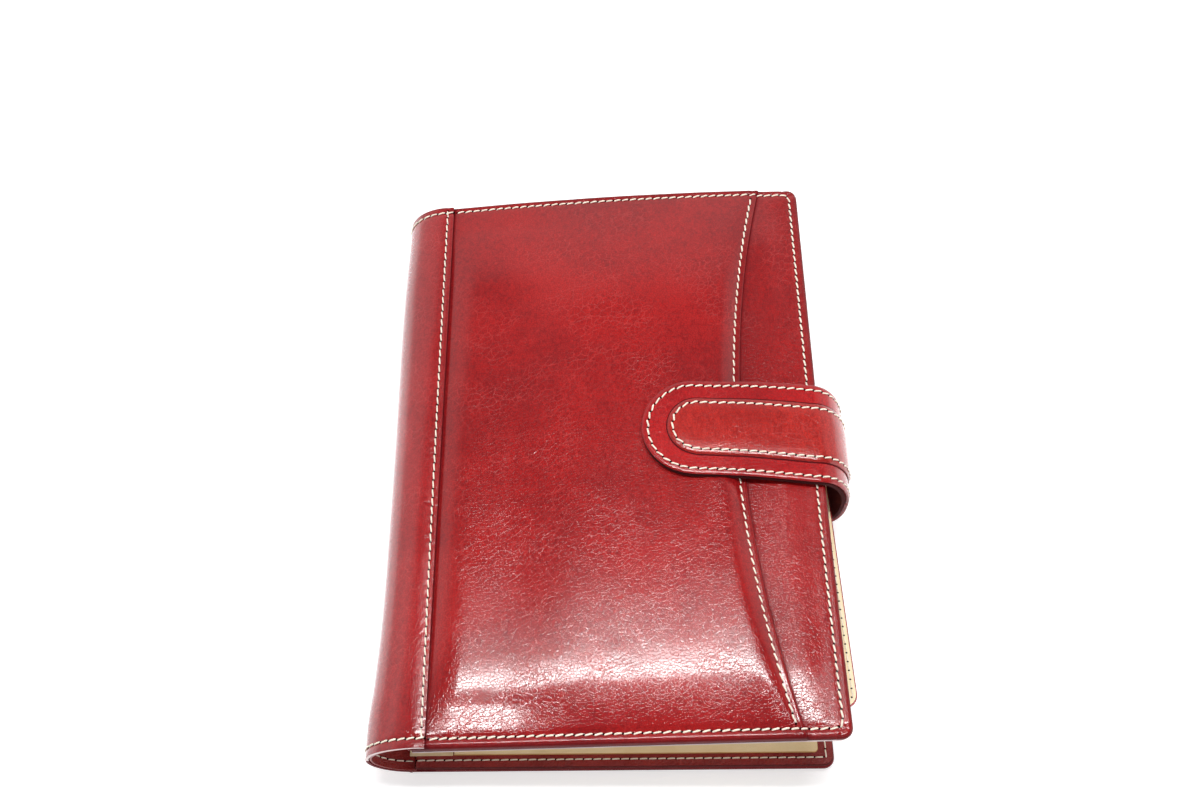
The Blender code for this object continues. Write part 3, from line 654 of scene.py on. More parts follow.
class Graph:
    """Short calls for building the nodes of a material or a world."""

    def __init__(self, owner):
        owner.use_nodes = True
        self.owner = owner
        self.tree = owner.node_tree
        self.shader = self.tree.nodes.get("Principled BSDF") or self.tree.nodes["Background"]

    def node(self, kind, settings=None, **inputs):
        made = self.tree.nodes.new("ShaderNode" + kind)
        for key, value in (settings or {}).items():
            setattr(made, key, value)
        for key, value in inputs.items():
            self.set(made, key.replace("_", " "), value)
        return made

    def set(self, node, key, value):
        socket = node.inputs[int(key)] if key.isdigit() else node.inputs[key]
        if isinstance(value, bpy.types.NodeSocket):
            self.tree.links.new(value, socket)
        else:
            socket.default_value = value

    def coords(self):
        return self.node("TexCoord").outputs["Object"]

    # Reads the vertex shade: mostly painted shade, with some even base tone and the pocket's real tan edge
    def shade(self):
        return self.node("Attribute", {"attribute_name": "shade"}).outputs["Fac"]

    def facing(self, axis):
        """How squarely a surface faces along an axis, either way."""
        normal = self.node("NewGeometry").outputs["Normal"]
        return self.math("ABSOLUTE", self.node("SeparateXYZ", Vector=normal).outputs[axis])

    def noise(self, vector, scale, detail=3.0, rough=0.55):
        made = self.node("TexNoise", Vector=vector, Scale=scale, Detail=detail, Roughness=rough)
        return made.outputs["Fac"]

    def cells(self, vector, scale):
        made = self.node("TexVoronoi", {"feature": "DISTANCE_TO_EDGE"}, Vector=vector, Scale=scale)
        return made.outputs["Distance"]

    def patches(self, vector, scale):
        return self.node("TexVoronoi", Vector=vector, Scale=scale).outputs["Color"]

    def ramp(self, value, low, high, to_low=0.0, to_high=1.0):
        made = self.node("MapRange", {"interpolation_type": "SMOOTHSTEP"}, Value=value, From_Min=low,
                         From_Max=high, To_Min=to_low, To_Max=to_high)
        return made.outputs["Result"]

    def math(self, operation, first, second=0.0):
        made = self.node("Math", {"operation": operation})
        self.set(made, "0", first)
        self.set(made, "1", second)
        return made.outputs["Value"]

    def vary(self, base, pattern, amount):
        """Add a pattern that swings about zero."""
        swing = self.math("SUBTRACT", pattern, 0.5)
        return self.math("ADD", base, self.math("MULTIPLY", swing, amount))

    def warp(self, vector, scale, amount):
        """Shift coordinates by a noise, so that straight patterns wander."""
        noise_node = self.node("TexNoise", Vector=vector, Scale=scale, Detail=2.0)
        shift = self.node("VectorMath", {"operation": "MULTIPLY_ADD"})
        self.set(shift, "0", noise_node.outputs["Color"])
        self.set(shift, "1", (amount, amount, amount))
        self.set(shift, "2", vector)
        return shift.outputs["Vector"]

    def stretch(self, vector, size, turn=0.0):
        """Coordinates in which a pattern of unit size comes out with this size, turned about Z."""
        made = self.node("Mapping", {"vector_type": "TEXTURE"}, Vector=vector, Scale=size,
                         Rotation=(0.0, 0.0, turn))
        return made.outputs["Vector"]

    def mix(self, share, first, second):
        made = self.node("Mix", {"data_type": "RGBA"})
        self.set(made, "0", share)
        self.set(made, "6", first)
        self.set(made, "7", second)
        return made.outputs[2]

    def bump(self, height, distance, strength, after=None):
        made = self.node("Bump", Height=height, Distance=distance, Strength=strength)
        if after is not None:
            self.set(made, "Normal", after)
        return made.outputs["Normal"]

    def finish(self, **inputs):
        for key, value in inputs.items():
            self.set(self.shader, key.replace("_", " "), value)
        return self.owner


def material_graph(name):
    return Graph(bpy.data.materials.new(name))


def color(red, green, blue):
    return (red, green, blue, 1.0)


# Deep red: the colour of the grain's hollows, and the colour that the painted shade goes to
DEEP_RED = color(0.085, 0.0025, 0.005)
VEIN_RED = color(0.60, 0.060, 0.055)
WHITE = color(1.0, 1.0, 1.0)


def calf_leather(name, dark, light, edge=None, gloss=0.48, streaking=0.12, pebble=0.5, sheen=1.5):
    """Polished, marbled calf: soft clouds of colour, fine speckle, a broken net of light hairlines, and
    painted shade from the vertex mask.
    """
    graph = material_graph(name)
    at = graph.coords()
    wander = graph.warp(at, 190.0, 0.0040)
    cloud = graph.noise(at, 24.0, 4.0, 0.55)
    mottle = graph.noise(at, 520.0, 3.0, 0.65)
    speckle = graph.patches(graph.warp(at, 600.0, 0.0008), 900.0)
    streak = graph.noise(graph.stretch(wander, (0.0009, 0.0070, 0.0070), math.radians(4)), 1.0, 3.0)
    slanted = graph.stretch(wander, (1.5, 1.0, 1.0), math.radians(40))
    net = graph.ramp(graph.cells(slanted, 400.0), 0.0, 0.065, 1.0, 0.0)
    net = graph.math("MULTIPLY", net, graph.ramp(graph.noise(at, 42.0, 3.0), 0.38, 0.60))
    grain = graph.cells(graph.warp(at, 700.0, 0.0006), 950.0)
    shade = graph.shade()

    marble = graph.vary(cloud, mottle, 0.48)
    marble = graph.vary(marble, streak, streaking)
    marble = graph.vary(marble, speckle, 0.26)
    tone = graph.mix(graph.ramp(marble, 0.24, 0.76), color(*dark), color(*light))
    tone = graph.mix(graph.ramp(grain, 0.0, 0.16, 0.38, 0.0), tone, DEEP_RED)
    tone = graph.mix(graph.math("MULTIPLY", net, 0.25), tone, VEIN_RED)
    # Painted shade: the vertex mask darkens the leather towards deep red at its edges, seams and laps
    tone = graph.mix(shade, tone, DEEP_RED)
    if edge is not None:
        tone = graph.mix(graph.ramp(graph.facing("Y"), 0.80, 0.92), tone, color(*edge))

    relief = graph.bump(graph.ramp(grain, 0.0, 0.12), 0.00003, pebble)
    relief = graph.bump(net, -0.00006, pebble * 0.64, relief)
    relief = graph.bump(graph.noise(at, 210.0, 3.0), 0.00022, 0.05, relief)
    rough = graph.ramp(graph.noise(at, 300.0, 3.0), 0.2, 0.8, gloss - 0.04, gloss + 0.07)
    polish = graph.ramp(shade, 0.22, 0.75, 1.0, 0.06)
    return graph.finish(Base_Color=tone, Roughness=rough, Normal=relief, Specular_IOR_Level=0.05,
                        Coat_Weight=polish, Coat_Roughness=0.10, Coat_IOR=sheen, Coat_Normal=relief)


def flat_leather(name, base, other, gloss, grain_size=1100.0, grain_depth=0.00008, edge=None, shine=0.3):
    """Thin lining leather with a small even grain."""
    graph = material_graph(name)
    at = graph.coords()
    cloud = graph.noise(at, 60.0, 4.0, 0.6)
    grain = graph.cells(graph.warp(at, 800.0, 0.0004), grain_size)
    tone = graph.mix(graph.ramp(cloud, 0.3, 0.7), color(*base), color(*other))
    # The vertex mask mixes in the edge colour: painted shade in the maroon lining, whose edge colour is near
    # black, and the real tan edge of the cream pocket
    if edge is not None:
        shade = graph.shade()
        tone = graph.mix(shade, tone, color(*edge))
        gloss = graph.ramp(shade, 0.3, 0.8, gloss, 0.95)
    relief = graph.bump(graph.ramp(grain, 0.0, 0.22), grain_depth, 0.5)
    relief = graph.bump(graph.noise(at, 240.0, 3.0), 0.0002, 0.2, relief)
    return graph.finish(Base_Color=tone, Roughness=gloss, Normal=relief, Specular_IOR_Level=shine)


def page_paper(name):
    """A block of leaves: fine lines along its edges, plain faces."""
    graph = material_graph(name)
    at = graph.coords()
    layer = graph.noise(graph.stretch(at, (0.12, 0.12, 0.00011)), 1.0, 2.0)
    edge = graph.ramp(graph.facing("Z"), 0.5, 0.7, 1.0, 0.0)
    line = graph.math("MULTIPLY", graph.ramp(layer, 0.35, 0.65), edge)
    tone = graph.mix(line, color(0.86, 0.82, 0.72), color(0.62, 0.57, 0.48))
    relief = graph.bump(graph.math("MULTIPLY", layer, edge), 0.0001, 0.5)
    relief = graph.bump(graph.noise(at, 900.0, 2.0), 0.00003, 0.3, relief)
    return graph.finish(Base_Color=tone, Roughness=0.82, Normal=relief)


def waxed_thread(name, base, other):
    """Twisted waxed thread."""
    graph = material_graph(name)
    twist = graph.noise(graph.coords(), 3200.0, 2.0)
    tone = graph.mix(graph.ramp(twist, 0.3, 0.7), color(*other), color(*base))
    return graph.finish(Base_Color=tone, Roughness=0.6, Normal=graph.bump(twist, 0.00006, 0.5))


def bright_metal(name, base, gloss):
    """Plated metal with faint brushing along the rail."""
    graph = material_graph(name)
    brushed = graph.noise(graph.stretch(graph.coords(), (0.0011, 0.033, 0.0011)), 1.0, 3.0)
    rough = graph.ramp(brushed, 0.3, 0.7, gloss - 0.05, gloss + 0.08)
    relief = graph.bump(brushed, 0.00002, 0.15)
    return graph.finish(Base_Color=color(*base), Metallic=1.0, Roughness=rough, Normal=relief)


red = calf_leather("red_calf", (0.258, 0.0050, 0.0062), (0.405, 0.0092, 0.0090))
fore_red = calf_leather("fore_edge_calf", (0.262, 0.0050, 0.0062), (0.41, 0.0092, 0.0090), pebble=0.65)
spine_red = calf_leather("spine_calf", (0.28, 0.0060, 0.0075), (0.41, 0.0100, 0.0110),
                         edge=(0.62, 0.42, 0.40), sheen=1.62)
spine_low_red = calf_leather("spine_low_calf", (0.28, 0.0060, 0.0075), (0.41, 0.0100, 0.0110), sheen=1.62)
strap_red = calf_leather("strap_calf", (0.33, 0.0050, 0.0070), (0.51, 0.0088, 0.0098))
inlay_red = calf_leather("inlay_calf", (0.36, 0.0125, 0.0090), (0.50, 0.0195, 0.0130), streaking=1.0)
# The maroon's near-black edge colour is the colour that its painted shade goes to
maroon = flat_leather("maroon_lining", (0.225, 0.0150, 0.0135), (0.330, 0.0255, 0.0225), 0.33,
                      grain_size=900.0, grain_depth=0.00030, edge=(0.05, 0.0030, 0.0040), shine=0.36)
cream = flat_leather("cream_lining", (0.88, 0.69, 0.40), (0.96, 0.79, 0.50), 0.7, edge=(0.55, 0.27, 0.08))
# A lighter copy of the cream lining for the leaf: painted light, for the brighter light that falls on the
# leaf
lit_leaf_cream = flat_leather("lit_leaf_cream", (0.93, 0.76, 0.49), (1.0, 0.86, 0.60), 0.7)
raw_edge = flat_leather("raw_edge", (0.80, 0.66, 0.68), (0.90, 0.77, 0.78), 0.7)
paper = page_paper("paper")
thread = waxed_thread("cream_thread", (0.98, 0.92, 0.80), (0.86, 0.75, 0.59))
# Near-black lenses whose colour is the painted shade inside each needle hole
needle_hole_shade = flat_leather("needle_hole_shade", (0.010, 0.002, 0.002), (0.016, 0.002, 0.002), 0.9, shine=0.0)
nickel = bright_metal("nickel", (0.74, 0.72, 0.69), 0.2)


# Stitches

def seam(name, run, pitch, body=None, radius=THREAD_RADIUS, lean=STITCH_SLANT, half=None):
    """Slanted stitches and their needle holes along a run of (point, normal) pairs, attached to a body when
    one is given.
    """
    lengths = running_lengths([point for point, _ in run])
    count = max(1, round(lengths[-1] / pitch))
    step = lengths[-1] / count

    def sample(distance):
        index, share = locate(lengths, distance)
        (before, normal), (after, next_normal) = run[index], run[index + 1]
        along = (after - before).normalized()
        return before.lerp(after, share), normal.lerp(next_normal, share).normalized(), along

    verts, faces, hole_verts, hole_faces = [], [], [], []
    for number in range(count):
        point, normal, along = sample((number + 0.5) * step)
        wobble = noise.noise(point * WOBBLE_SCALE)
        slant = lean * (1 + WOBBLE_SLANT * wobble)
        across = normal.cross(along).normalized()
        direction = along * math.cos(slant) + across * math.sin(slant)
        half_length = step * (STITCH_HALF + WOBBLE_LENGTH * wobble)
        add_stitch(verts, faces, point, normal, direction, half_length, radius)
    for number in range(count + 1):
        add_hole(hole_verts, hole_faces, *sample(number * step), radius / THREAD_RADIUS)
    stitches = new_mesh(name, verts, faces, thread)
    holes = new_mesh(name + "_holes", hole_verts, hole_faces, needle_hole_shade)
    for piece in (stitches, holes):
        if half:
            blend(piece, half)
        else:
            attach(piece, body)


def add_stitch(verts, faces, point, normal, direction, half, radius):
    """A short thread, fullest in its middle, whose ends go down into the leather."""
    base = len(verts)
    sideways = normal.cross(direction).normalized()
    for ring in range(STITCH_RINGS):
        share = -1 + 2 * ring / (STITCH_RINGS - 1)
        rise = radius * (STITCH_CREST - STITCH_DIVE * share ** 4)
        thickness = radius * (1.0 - STITCH_TAPER * share ** 4)
        centre = point + direction * half * share + normal * rise
        for side in range(STITCH_SIDES):
            angle = 2 * math.pi * side / STITCH_SIDES
            offset = sideways * math.cos(angle) * STITCH_SPREAD + normal * math.sin(angle)
            verts.append(centre + offset * thickness)
    for ring in range(STITCH_RINGS - 1):
        first = base + ring * STITCH_SIDES
        above = first + STITCH_SIDES
        for side in range(STITCH_SIDES):
            after = (side + 1) % STITCH_SIDES
            faces.append((first + side, first + after, above + after, above + side))
    faces.append(tuple(base + side for side in reversed(range(STITCH_SIDES))))
    faces.append(tuple(base + (STITCH_RINGS - 1) * STITCH_SIDES + side for side in range(STITCH_SIDES)))


def add_hole(verts, faces, centre, normal, along, size):
    """A small lens between two stitches, dark with the painted shade of a needle hole, longest across the
    seam and a hair proud of the leather.
    """
    base = len(verts)
    across = normal.cross(along).normalized()
    for side in range(HOLE_SIDES):
        angle = 2 * math.pi * side / HOLE_SIDES
        rim = along * math.cos(angle) * HOLE_LENGTH + across * math.sin(angle) * HOLE_WIDTH
        verts.append(centre + (rim + normal * HOLE_RIM) * size)
    verts.append(centre + normal * HOLE_LIFT * size)
    verts.append(centre - normal * THREAD_RADIUS)
    for side in range(HOLE_SIDES):
        after = (side + 1) % HOLE_SIDES
        faces.append((base + side, base + after, base + HOLE_SIDES))
        faces.append((base + after, base + side, base + HOLE_SIDES + 1))


# Front cover

def bow_x(y):
    """The bowed edge of the centre panel, an arc that is deepest at the middle of its height."""
    radius = (HALF_HEIGHT ** 2 + BOW_DEPTH ** 2) / (2 * BOW_DEPTH)
    middle = FRONT_EDGE_X - BOW_END_INSET - BOW_DEPTH
    return middle + radius - math.sqrt(radius ** 2 - y ** 2)


def from_end(y):
    return HALF_HEIGHT - abs(y)


def edge_x(y):
    """Fore edge of the front cover, rounded at its corners."""
    short = max(CORNER_RADIUS - from_end(y), 0.0)
    return FRONT_EDGE_X - CORNER_RADIUS + math.sqrt(CORNER_RADIUS ** 2 - short ** 2)


def end_inset(y):
    """How far the border stitches lie from the foot or the head."""
    return HEAD_INSET if y > 0 else BORDER_INSET


def edge_distance(x, y):
    """Distance from a point of the front cover to its outline."""
    end = from_end(y)
    fore = FRONT_EDGE_X - x
    if end < CORNER_RADIUS and fore < CORNER_RADIUS:
        return CORNER_RADIUS - math.hypot(CORNER_RADIUS - end, CORNER_RADIUS - fore)
    return min(end, fore)


def turned(distance):
    """Drop of the leather as it turns down over an edge in a quarter round."""
    short = min(max(EDGE_ROLL - distance, 0.0), EDGE_ROLL)
    return EDGE_ROLL - math.sqrt(EDGE_ROLL ** 2 - short ** 2)


def lip(distance):
    """Drop of a lapped leather towards its edge."""
    return LIP_DROP * max(1 - distance / EDGE_ROLL, 0.0) ** 2


def groove(distance):
    """Dip of the leather where a seam pulls it down."""
    return GROOVE_DEPTH * math.exp(-(distance / GROOVE_REACH) ** 2)


def edge_shade(distance):
    """Painted shade on the leather as it turns over an edge."""
    return EDGE_SHADE * max(1 - distance / EDGE_ROLL, 0.0)


def lap_shade(distance):
    """Painted shadow on a leather just beyond the edge of another that laps over it."""
    return LAP_SHADE * fade(max(distance, 0.0), LAP_SHADE_REACH)


def padding(x, y):
    """Rise of the padding: a low cushion under the whole front, and a crown under the centre panel."""
    inward = from_end(y) - CROWN_MARGIN
    tuck = 1 - ease((x - SEAM_X - TUCK_FROM_SEAM) / TUCK_FADE)
    plain = slope_rise(HEAD_END if y > 0 else FOOT_END, inward)
    end = plain * (1 - tuck) + slope_rise(TUCKED_END, inward) * tuck
    spine_side = dome((x - SEAM_X - CROWN_FROM_SEAM) / CROWN_FALL_SPINE)
    fore_side = ease((edge_x(y) - x - BORDER_INSET) / CUSHION_FALL_FORE)
    bow_side = dome((bow_x(y) - x - SEAM_INSET) / CROWN_FALL_BOW)
    cushion = min(slope_rise(CUSHION_END, inward) * fore_side, end)
    return spine_side * (cushion + (end - cushion) * bow_side)


def gathers(x, y):
    """Small folds that run in from the stitched ends of the padding."""
    inward = from_end(y) - GATHER_INSET
    fold = noise.noise(Vector((x * GATHER_ACROSS, y * GATHER_ALONG, 0.0)))
    return GATHER_HEIGHT * fold * math.exp(-(inward / GATHER_REACH) ** 2)


def unevenness(x, y):
    place = Vector((x, y, 0.0))
    broad = UNEVEN_BROAD * noise.noise(place * UNEVEN_BROAD_SCALE)
    return broad + UNEVEN_FINE * noise.noise(place * UNEVEN_FINE_SCALE)


def centre_height(x, y):
    end = from_end(y)
    bow = bow_x(y) - x
    height = CENTRE_TOP_Z + padding(x, y) + unevenness(x, y) + gathers(x, y)
    height -= groove(end - end_inset(y)) + groove(bow - SEAM_INSET)
    return height - turned(end) - lip(bow)


def fore_height(x, y):
    fore = edge_x(y) - x
    height = FORE_TOP_Z + padding(x, y) + unevenness(x, y)
    height -= groove(from_end(y) - end_inset(y)) + groove(fore - BORDER_INSET)
    return height - turned(edge_distance(x, y))


def front_height(x, y):
    return centre_height(x, y) if x < bow_x(y) else fore_height(x, y)


def front_run(points):
    """Points and normals on the front cover's leather along a flat line of (x, y) points."""
    run = []
    small = 0.0005
    steepest = 0.5
    for x, y in points:
        height = front_height(x, y)
        rise_x = (front_height(x + small, y) - front_height(x - small, y)) / (2 * small)
        rise_y = (front_height(x, y + small) - front_height(x, y - small)) / (2 * small)
        rise_x = min(max(rise_x, -steepest), steepest)
        rise_y = min(max(rise_y, -steepest), steepest)
        point = front(x, y, height)
        ahead = front(x - rise_x, y - rise_y, height + 1.0)
        run.append((point, (ahead - point).normalized()))
    return run


def centre_shade(x, y):
    """Painted shade on the centre panel towards its ends, seams and lap."""
    end = from_end(y)
    side = max(min(bow_x(y) - x, x - SEAM_X + SEAM_SHADE_MARGIN), 0.0)
    broad = fade(min(end, side), BROAD_SHADE_REACH)
    shade = END_SHADE * fade(end, END_SHADE_REACH) + SIDE_SHADE * fade(side, SIDE_SHADE_REACH)
    return shade + BROAD_SHADE * broad + edge_shade(end) + lap_shade(x - SEAM_X)


def fore_shade(x, y):
    """Painted shade on the fore-edge panel towards its edges and lap, over an even base tone."""
    near = edge_distance(x, y)
    lap = x - bow_x(y)
    end = fade(min(near, max(lap, 0.0)), END_SHADE_REACH)
    return FORE_BASE_SHADE + END_SHADE * end + edge_shade(near) + lap_shade(lap)


def skirted(name, rows, shades, skirts, mat):
    """A panel of the front cover, with a skirt below each of its ends that is dark with painted shade."""
    foot, head = skirts
    panel = loft(name, [foot] + rows + [head], mat, UP)
    dark = [SKIRT_SHADE] * len(foot)
    paint(panel, dark + shades + dark)
    return panel


def make_centre_leather():
    def columns(y):
        return lapped(SEAM_X - PANEL_UNDERLAP, SEAM_X, bow_x(y), CENTRE_COLUMNS)

    ys = spaced(-HALF_HEIGHT, HALF_HEIGHT, LONG_STEPS)
    rows = [[front(x, y, centre_height(x, y)) for x in columns(y)] for y in ys]
    shades = [centre_shade(x, y) for y in ys for x in columns(y)]
    ends = (-HALF_HEIGHT - SKIRT_PROUD, HALF_HEIGHT + SKIRT_PROUD)
    skirts = [[front(x, y, LINING_TOP_Z) for x in columns(HALF_HEIGHT)] for y in ends]
    panel = skirted("centre_leather", rows, shades, skirts, red)
    thicken(panel, PANEL_THICKNESS)
    settle(panel, "red_leather", "centre_panel", "foam_pad", "keeper_plate", body="front")


def make_fore_edge_leather():
    def columns(y):
        return lapped(bow_x(y) - PANEL_UNDERLAP, bow_x(y), edge_x(y), FORE_COLUMNS)

    rows = []
    shades = []
    for y in spaced(-HALF_HEIGHT, HALF_HEIGHT, LONG_STEPS):
        xs = columns(y)
        rows.append([front(x, y, fore_height(x, y)) for x in xs] + [front(xs[-1], y, LINING_TOP_Z)])
        shades += [fore_shade(x, y) for x in xs] + [SKIRT_SHADE]
    skirts = []
    for y in (-HALF_HEIGHT, HALF_HEIGHT):
        xs = columns(y)
        skirts.append([front(x, y, LINING_TOP_Z) for x in xs + xs[-1:]])
    panel = skirted("fore_edge_leather", rows, shades, skirts, fore_red)
    weld(panel)
    thicken(panel, PANEL_THICKNESS)
    settle(panel, "red_leather", "fore_edge_panel", body="front")


def front_border():
    """The stitched border of the front cover, from the foot of the spine seam round to its head."""
    return border_path(SEAM_X + BORDER_START, FRONT_EDGE_X - BORDER_INSET, -HALF_HEIGHT + BORDER_INSET,
                       HALF_HEIGHT - HEAD_INSET, BORDER_CORNER)


def make_front_seams():
    seam("front_border_stitches", front_run(front_border()), STITCH_PITCH, "front")
    ends = HALF_HEIGHT - BORDER_INSET - STITCH_PITCH / 2
    bow = [(bow_x(y) - SEAM_INSET, y) for _, y in line_points((0, -ends), (0, ends))]
    seam("bow_seam_stitches", front_run(bow), BOW_PITCH, "front")


def front_slab(name, left, fore_gap, end_gap, levels, roll, mat, rim_shade=0.0, round_left=False):
    """A flat layer of the front cover."""
    right = FRONT_EDGE_X - fore_gap
    outline = rounded_outline(left, right, HALF_HEIGHT - end_gap, CORNER_RADIUS, round_left)
    return slab(name, outline, levels, roll, mat, front, rim_shade)


def make_front_edges():
    """The turned edge round the front cover, the raw edge of its lining, the lining and its pocket."""
    # Its rim is darkened with painted shade
    edge = front_slab("front_edge", EDGE_CORE_LEFT, EDGE_CORE_INSET, EDGE_CORE_INSET,
                      (LINING_TOP_Z, EDGE_CORE_TOP_Z), LAYER_ROLL, red, FRONT_RIM_SHADE)
    settle(edge, "red_leather", "front_board", body="front")
    raw = front_slab("front_raw_edge", EDGE_CORE_LEFT, RAW_FORE_INSET, -RAW_END_PROUD,
                     (LINING_LOW_Z, LINING_TOP_Z), THIN_ROLL, raw_edge)
    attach(raw, "front")
    face_z = LINING_LOW_Z - LINING_PROUD
    lining = front_slab("front_liner", LINING_LEFT, FRONT_LINING_INSET, FRONT_LINING_INSET,
                        (face_z, face_z + LINING_LEATHER), THIN_ROLL, maroon)
    settle(lining, "maroon_leather", "front_lining", body="front")
    pocket = front_slab("front_pocket_leather", SPINE_TANGENT_X + POCKET_SPINE_INSET, POCKET_FORE_INSET,
                        POCKET_END_INSET, (POCKET_LOW_Z, POCKET_TOP_Z), LAYER_ROLL, cream, round_left=True)
    settle(pocket, "cream_leather", "front_pocket", body="front")
    down = front(0, 0, -1.0) - front(0, 0, 0.0)
    run = [(front(x, y, face_z), down) for x, y in front_border()]
    seam("front_lining_stitches", run, STITCH_PITCH, "front", FINE_THREAD, FINE_SLANT)


# Spine

def spine_section(inset, low_end_x, high_end_x):
    """Section of the spine from its tail on the back cover to the seam, in halves that meet at the wall."""
    radius = SPINE_RADIUS - inset
    top_x = SPINE_TANGENT_X + SPINE_EASE
    low = [Vector((low_end_x, SPINE_LOW_Z + inset))]
    for part in range(SPINE_ARC_STEPS + 1):
        angle = math.pi / 2 * part / SPINE_ARC_STEPS
        low.append(Vector((SPINE_TANGENT_X - radius * math.sin(angle),
                           SPINE_LOW_Z + SPINE_RADIUS - radius * math.cos(angle))))
    high = [low[-1].copy()]
    for part in range(SPINE_ARC_STEPS + 1):
        share = part / SPINE_ARC_STEPS
        angle = math.pi / 2 * share
        high.append(wedged(top_x - (radius + SPINE_EASE) * math.cos(angle),
                           CLOSED_THICKNESS - SPINE_RADIUS + radius * math.sin(angle), share * WEDGE_ANGLE))
    if high_end_x > top_x:
        for part in range(1, SPINE_TOP_STEPS + 1):
            x = top_x + (high_end_x - top_x) * part / SPINE_TOP_STEPS
            high.append(wedged(x, CLOSED_THICKNESS - inset, WEDGE_ANGLE))
    return low, high


SPINE_LOW_FOLD = (Vector((SPINE_TANGENT_X, 0, SPINE_LOW_Z)),
                  Vector((SPINE_OUTER_X, 0, SPINE_LOW_Z + SPINE_RADIUS)))
SPINE_HIGH_FOLD = (Vector((SPINE_OUTER_X, 0, CLOSED_THICKNESS - SPINE_RADIUS)),
                   Vector((SPINE_TANGENT_X, 0, CLOSED_THICKNESS)))
SPINE_HALVES = (Half("low", ("back", "spine"), SPINE_LOW_FOLD, Vector((-1, 0, -1))),
                Half("high", ("spine", "front"), SPINE_HIGH_FOLD, Vector((-1, 0, 1))))


def spine_point(p, y):
    """A point of the spine's section at a height along the spine, whose wall is drawn in at its middle."""
    share = max(SPINE_TANGENT_X - p.x, 0.0) / SPINE_RADIUS
    return Vector((p.x + smooth(WAIST_KNOTS, y) * share, y, p.y))


def seam_inset(y):
    """The spine's stitches draw in to the edge of their seam towards the foot."""
    share = y / HALF_HEIGHT
    return SPINE_STITCH_INSET + SPINE_STITCH_DRIFT * share - SPINE_STITCH_BEND * share ** 2


def pucker(y, from_stitch):
    """Slanting gathers in the leather beside the stitches of the spine seam, weaker towards the head."""
    lean = PUCKER_LEAN * max(-from_stitch, 0.0)
    wave = math.cos(2 * math.pi * (y + HALF_HEIGHT + lean) / SPINE_PITCH)
    reach = math.exp(-(from_stitch / PUCKER_REACH) ** 2)
    place = Vector((from_stitch * PUCKER_ACROSS, y * PUCKER_ALONG, PUCKER_LAYER))
    patch = PUCKER_SHARE + PUCKER_SPREAD * noise.noise(place)
    kept = 1 - PUCKER_HEAD_LOSS * ease(y / PUCKER_HEAD_Y)
    return PUCKER_HEIGHT * wave * reach * max(patch, 0.0) * kept


def spine_relief(p, y):
    """How far the upper spine leather stands off its section, less its grooves and lip."""
    from_stitch = p.x - SEAM_X + seam_inset(y)
    lift = pucker(y, from_stitch) + unevenness(p.y, y) - groove(from_stitch) * SPINE_GROOVE
    lift -= lip(SEAM_X - p.x) if p.x > SPINE_TANGENT_X else 0.0
    return lift - groove(from_end(y) - end_inset(y))


def upper_spine_point(p, y, wall_z):
    """A point of the upper spine leather, whose relief fades out towards the wall."""
    out = UP if p.x > SPINE_TANGENT_X else SPINE_OUTWARD
    return spine_point(p, y) + out * spine_relief(p, y) * ease((p.y - wall_z) / WALL_FADE)


def upper_spine_shade(p, y):
    """Painted shade on the upper spine leather towards its seam and its ends, over an even base tone."""
    return (SPINE_BASE_SHADE + SPINE_SEAM_SHADE * fade(abs(SEAM_X - p.x), SPINE_SEAM_SHADE_REACH)
            + SPINE_END_SHADE * fade(from_end(y), SPINE_END_SHADE_REACH))


def make_spine():
    low, high = spine_section(0.0, SPINE_TANGENT_X + SPINE_TAIL, SEAM_X)
    low_half, high_half = SPINE_HALVES
    wall = low[-1]
    tucked = low + [wall + Vector((WALL_SINK, WALL_LAP))]
    low_ys = spaced(-HALF_HEIGHT, HALF_HEIGHT, LONG_STEPS // 3)
    rows = [[spine_point(p, y) for p in tucked] for y in low_ys]
    # Painted shade towards the ends of the lower spine leather, over an even base tone
    near_ends = [fade(from_end(y), SPINE_LOW_SHADE_REACH) for y in low_ys]
    shades = [SPINE_BASE_SHADE + SPINE_LOW_SHADE * near for near in near_ends for _ in tucked]
    bending("spine_leather_low", rows, shades, spine_low_red, low_half, SPINE_THICKNESS, SOFT_EDGE,
            "red_leather")

    high_ys = spaced(-HALF_HEIGHT, HALF_HEIGHT, round(2 * HALF_HEIGHT / SPINE_PITCH * PUCKER_STEPS))
    rows = [[upper_spine_point(p, y, wall.y) for p in high] for y in high_ys]
    shades = [upper_spine_shade(p, y) for y in high_ys for p in high]
    bending("spine_leather_high", rows, shades, spine_red, high_half, SPINE_THICKNESS, SPINE_SOFT_EDGE,
            "red_leather", "spine_panel")
    make_spine_lining(low_ys)
    make_spine_seams(low, high)


def make_spine_lining(ys):
    shrink = (HALF_HEIGHT - LINER_END_INSET) / HALF_HEIGHT
    sections = spine_section(LINER_INSET, SPINE_TANGENT_X + LINER_TAIL, SPINE_TANGENT_X - LINER_TOP_GAP)
    for half, points, nodes in zip(SPINE_HALVES, sections, ((), ("spine_lining",))):
        rows = [[spine_point(p, y * shrink) for p in points] for y in ys]
        bending("spine_liner_" + half.name, rows, None, maroon, half, LINER_THICKNESS, THIN_SOFT_EDGE,
                "maroon_leather", *nodes)


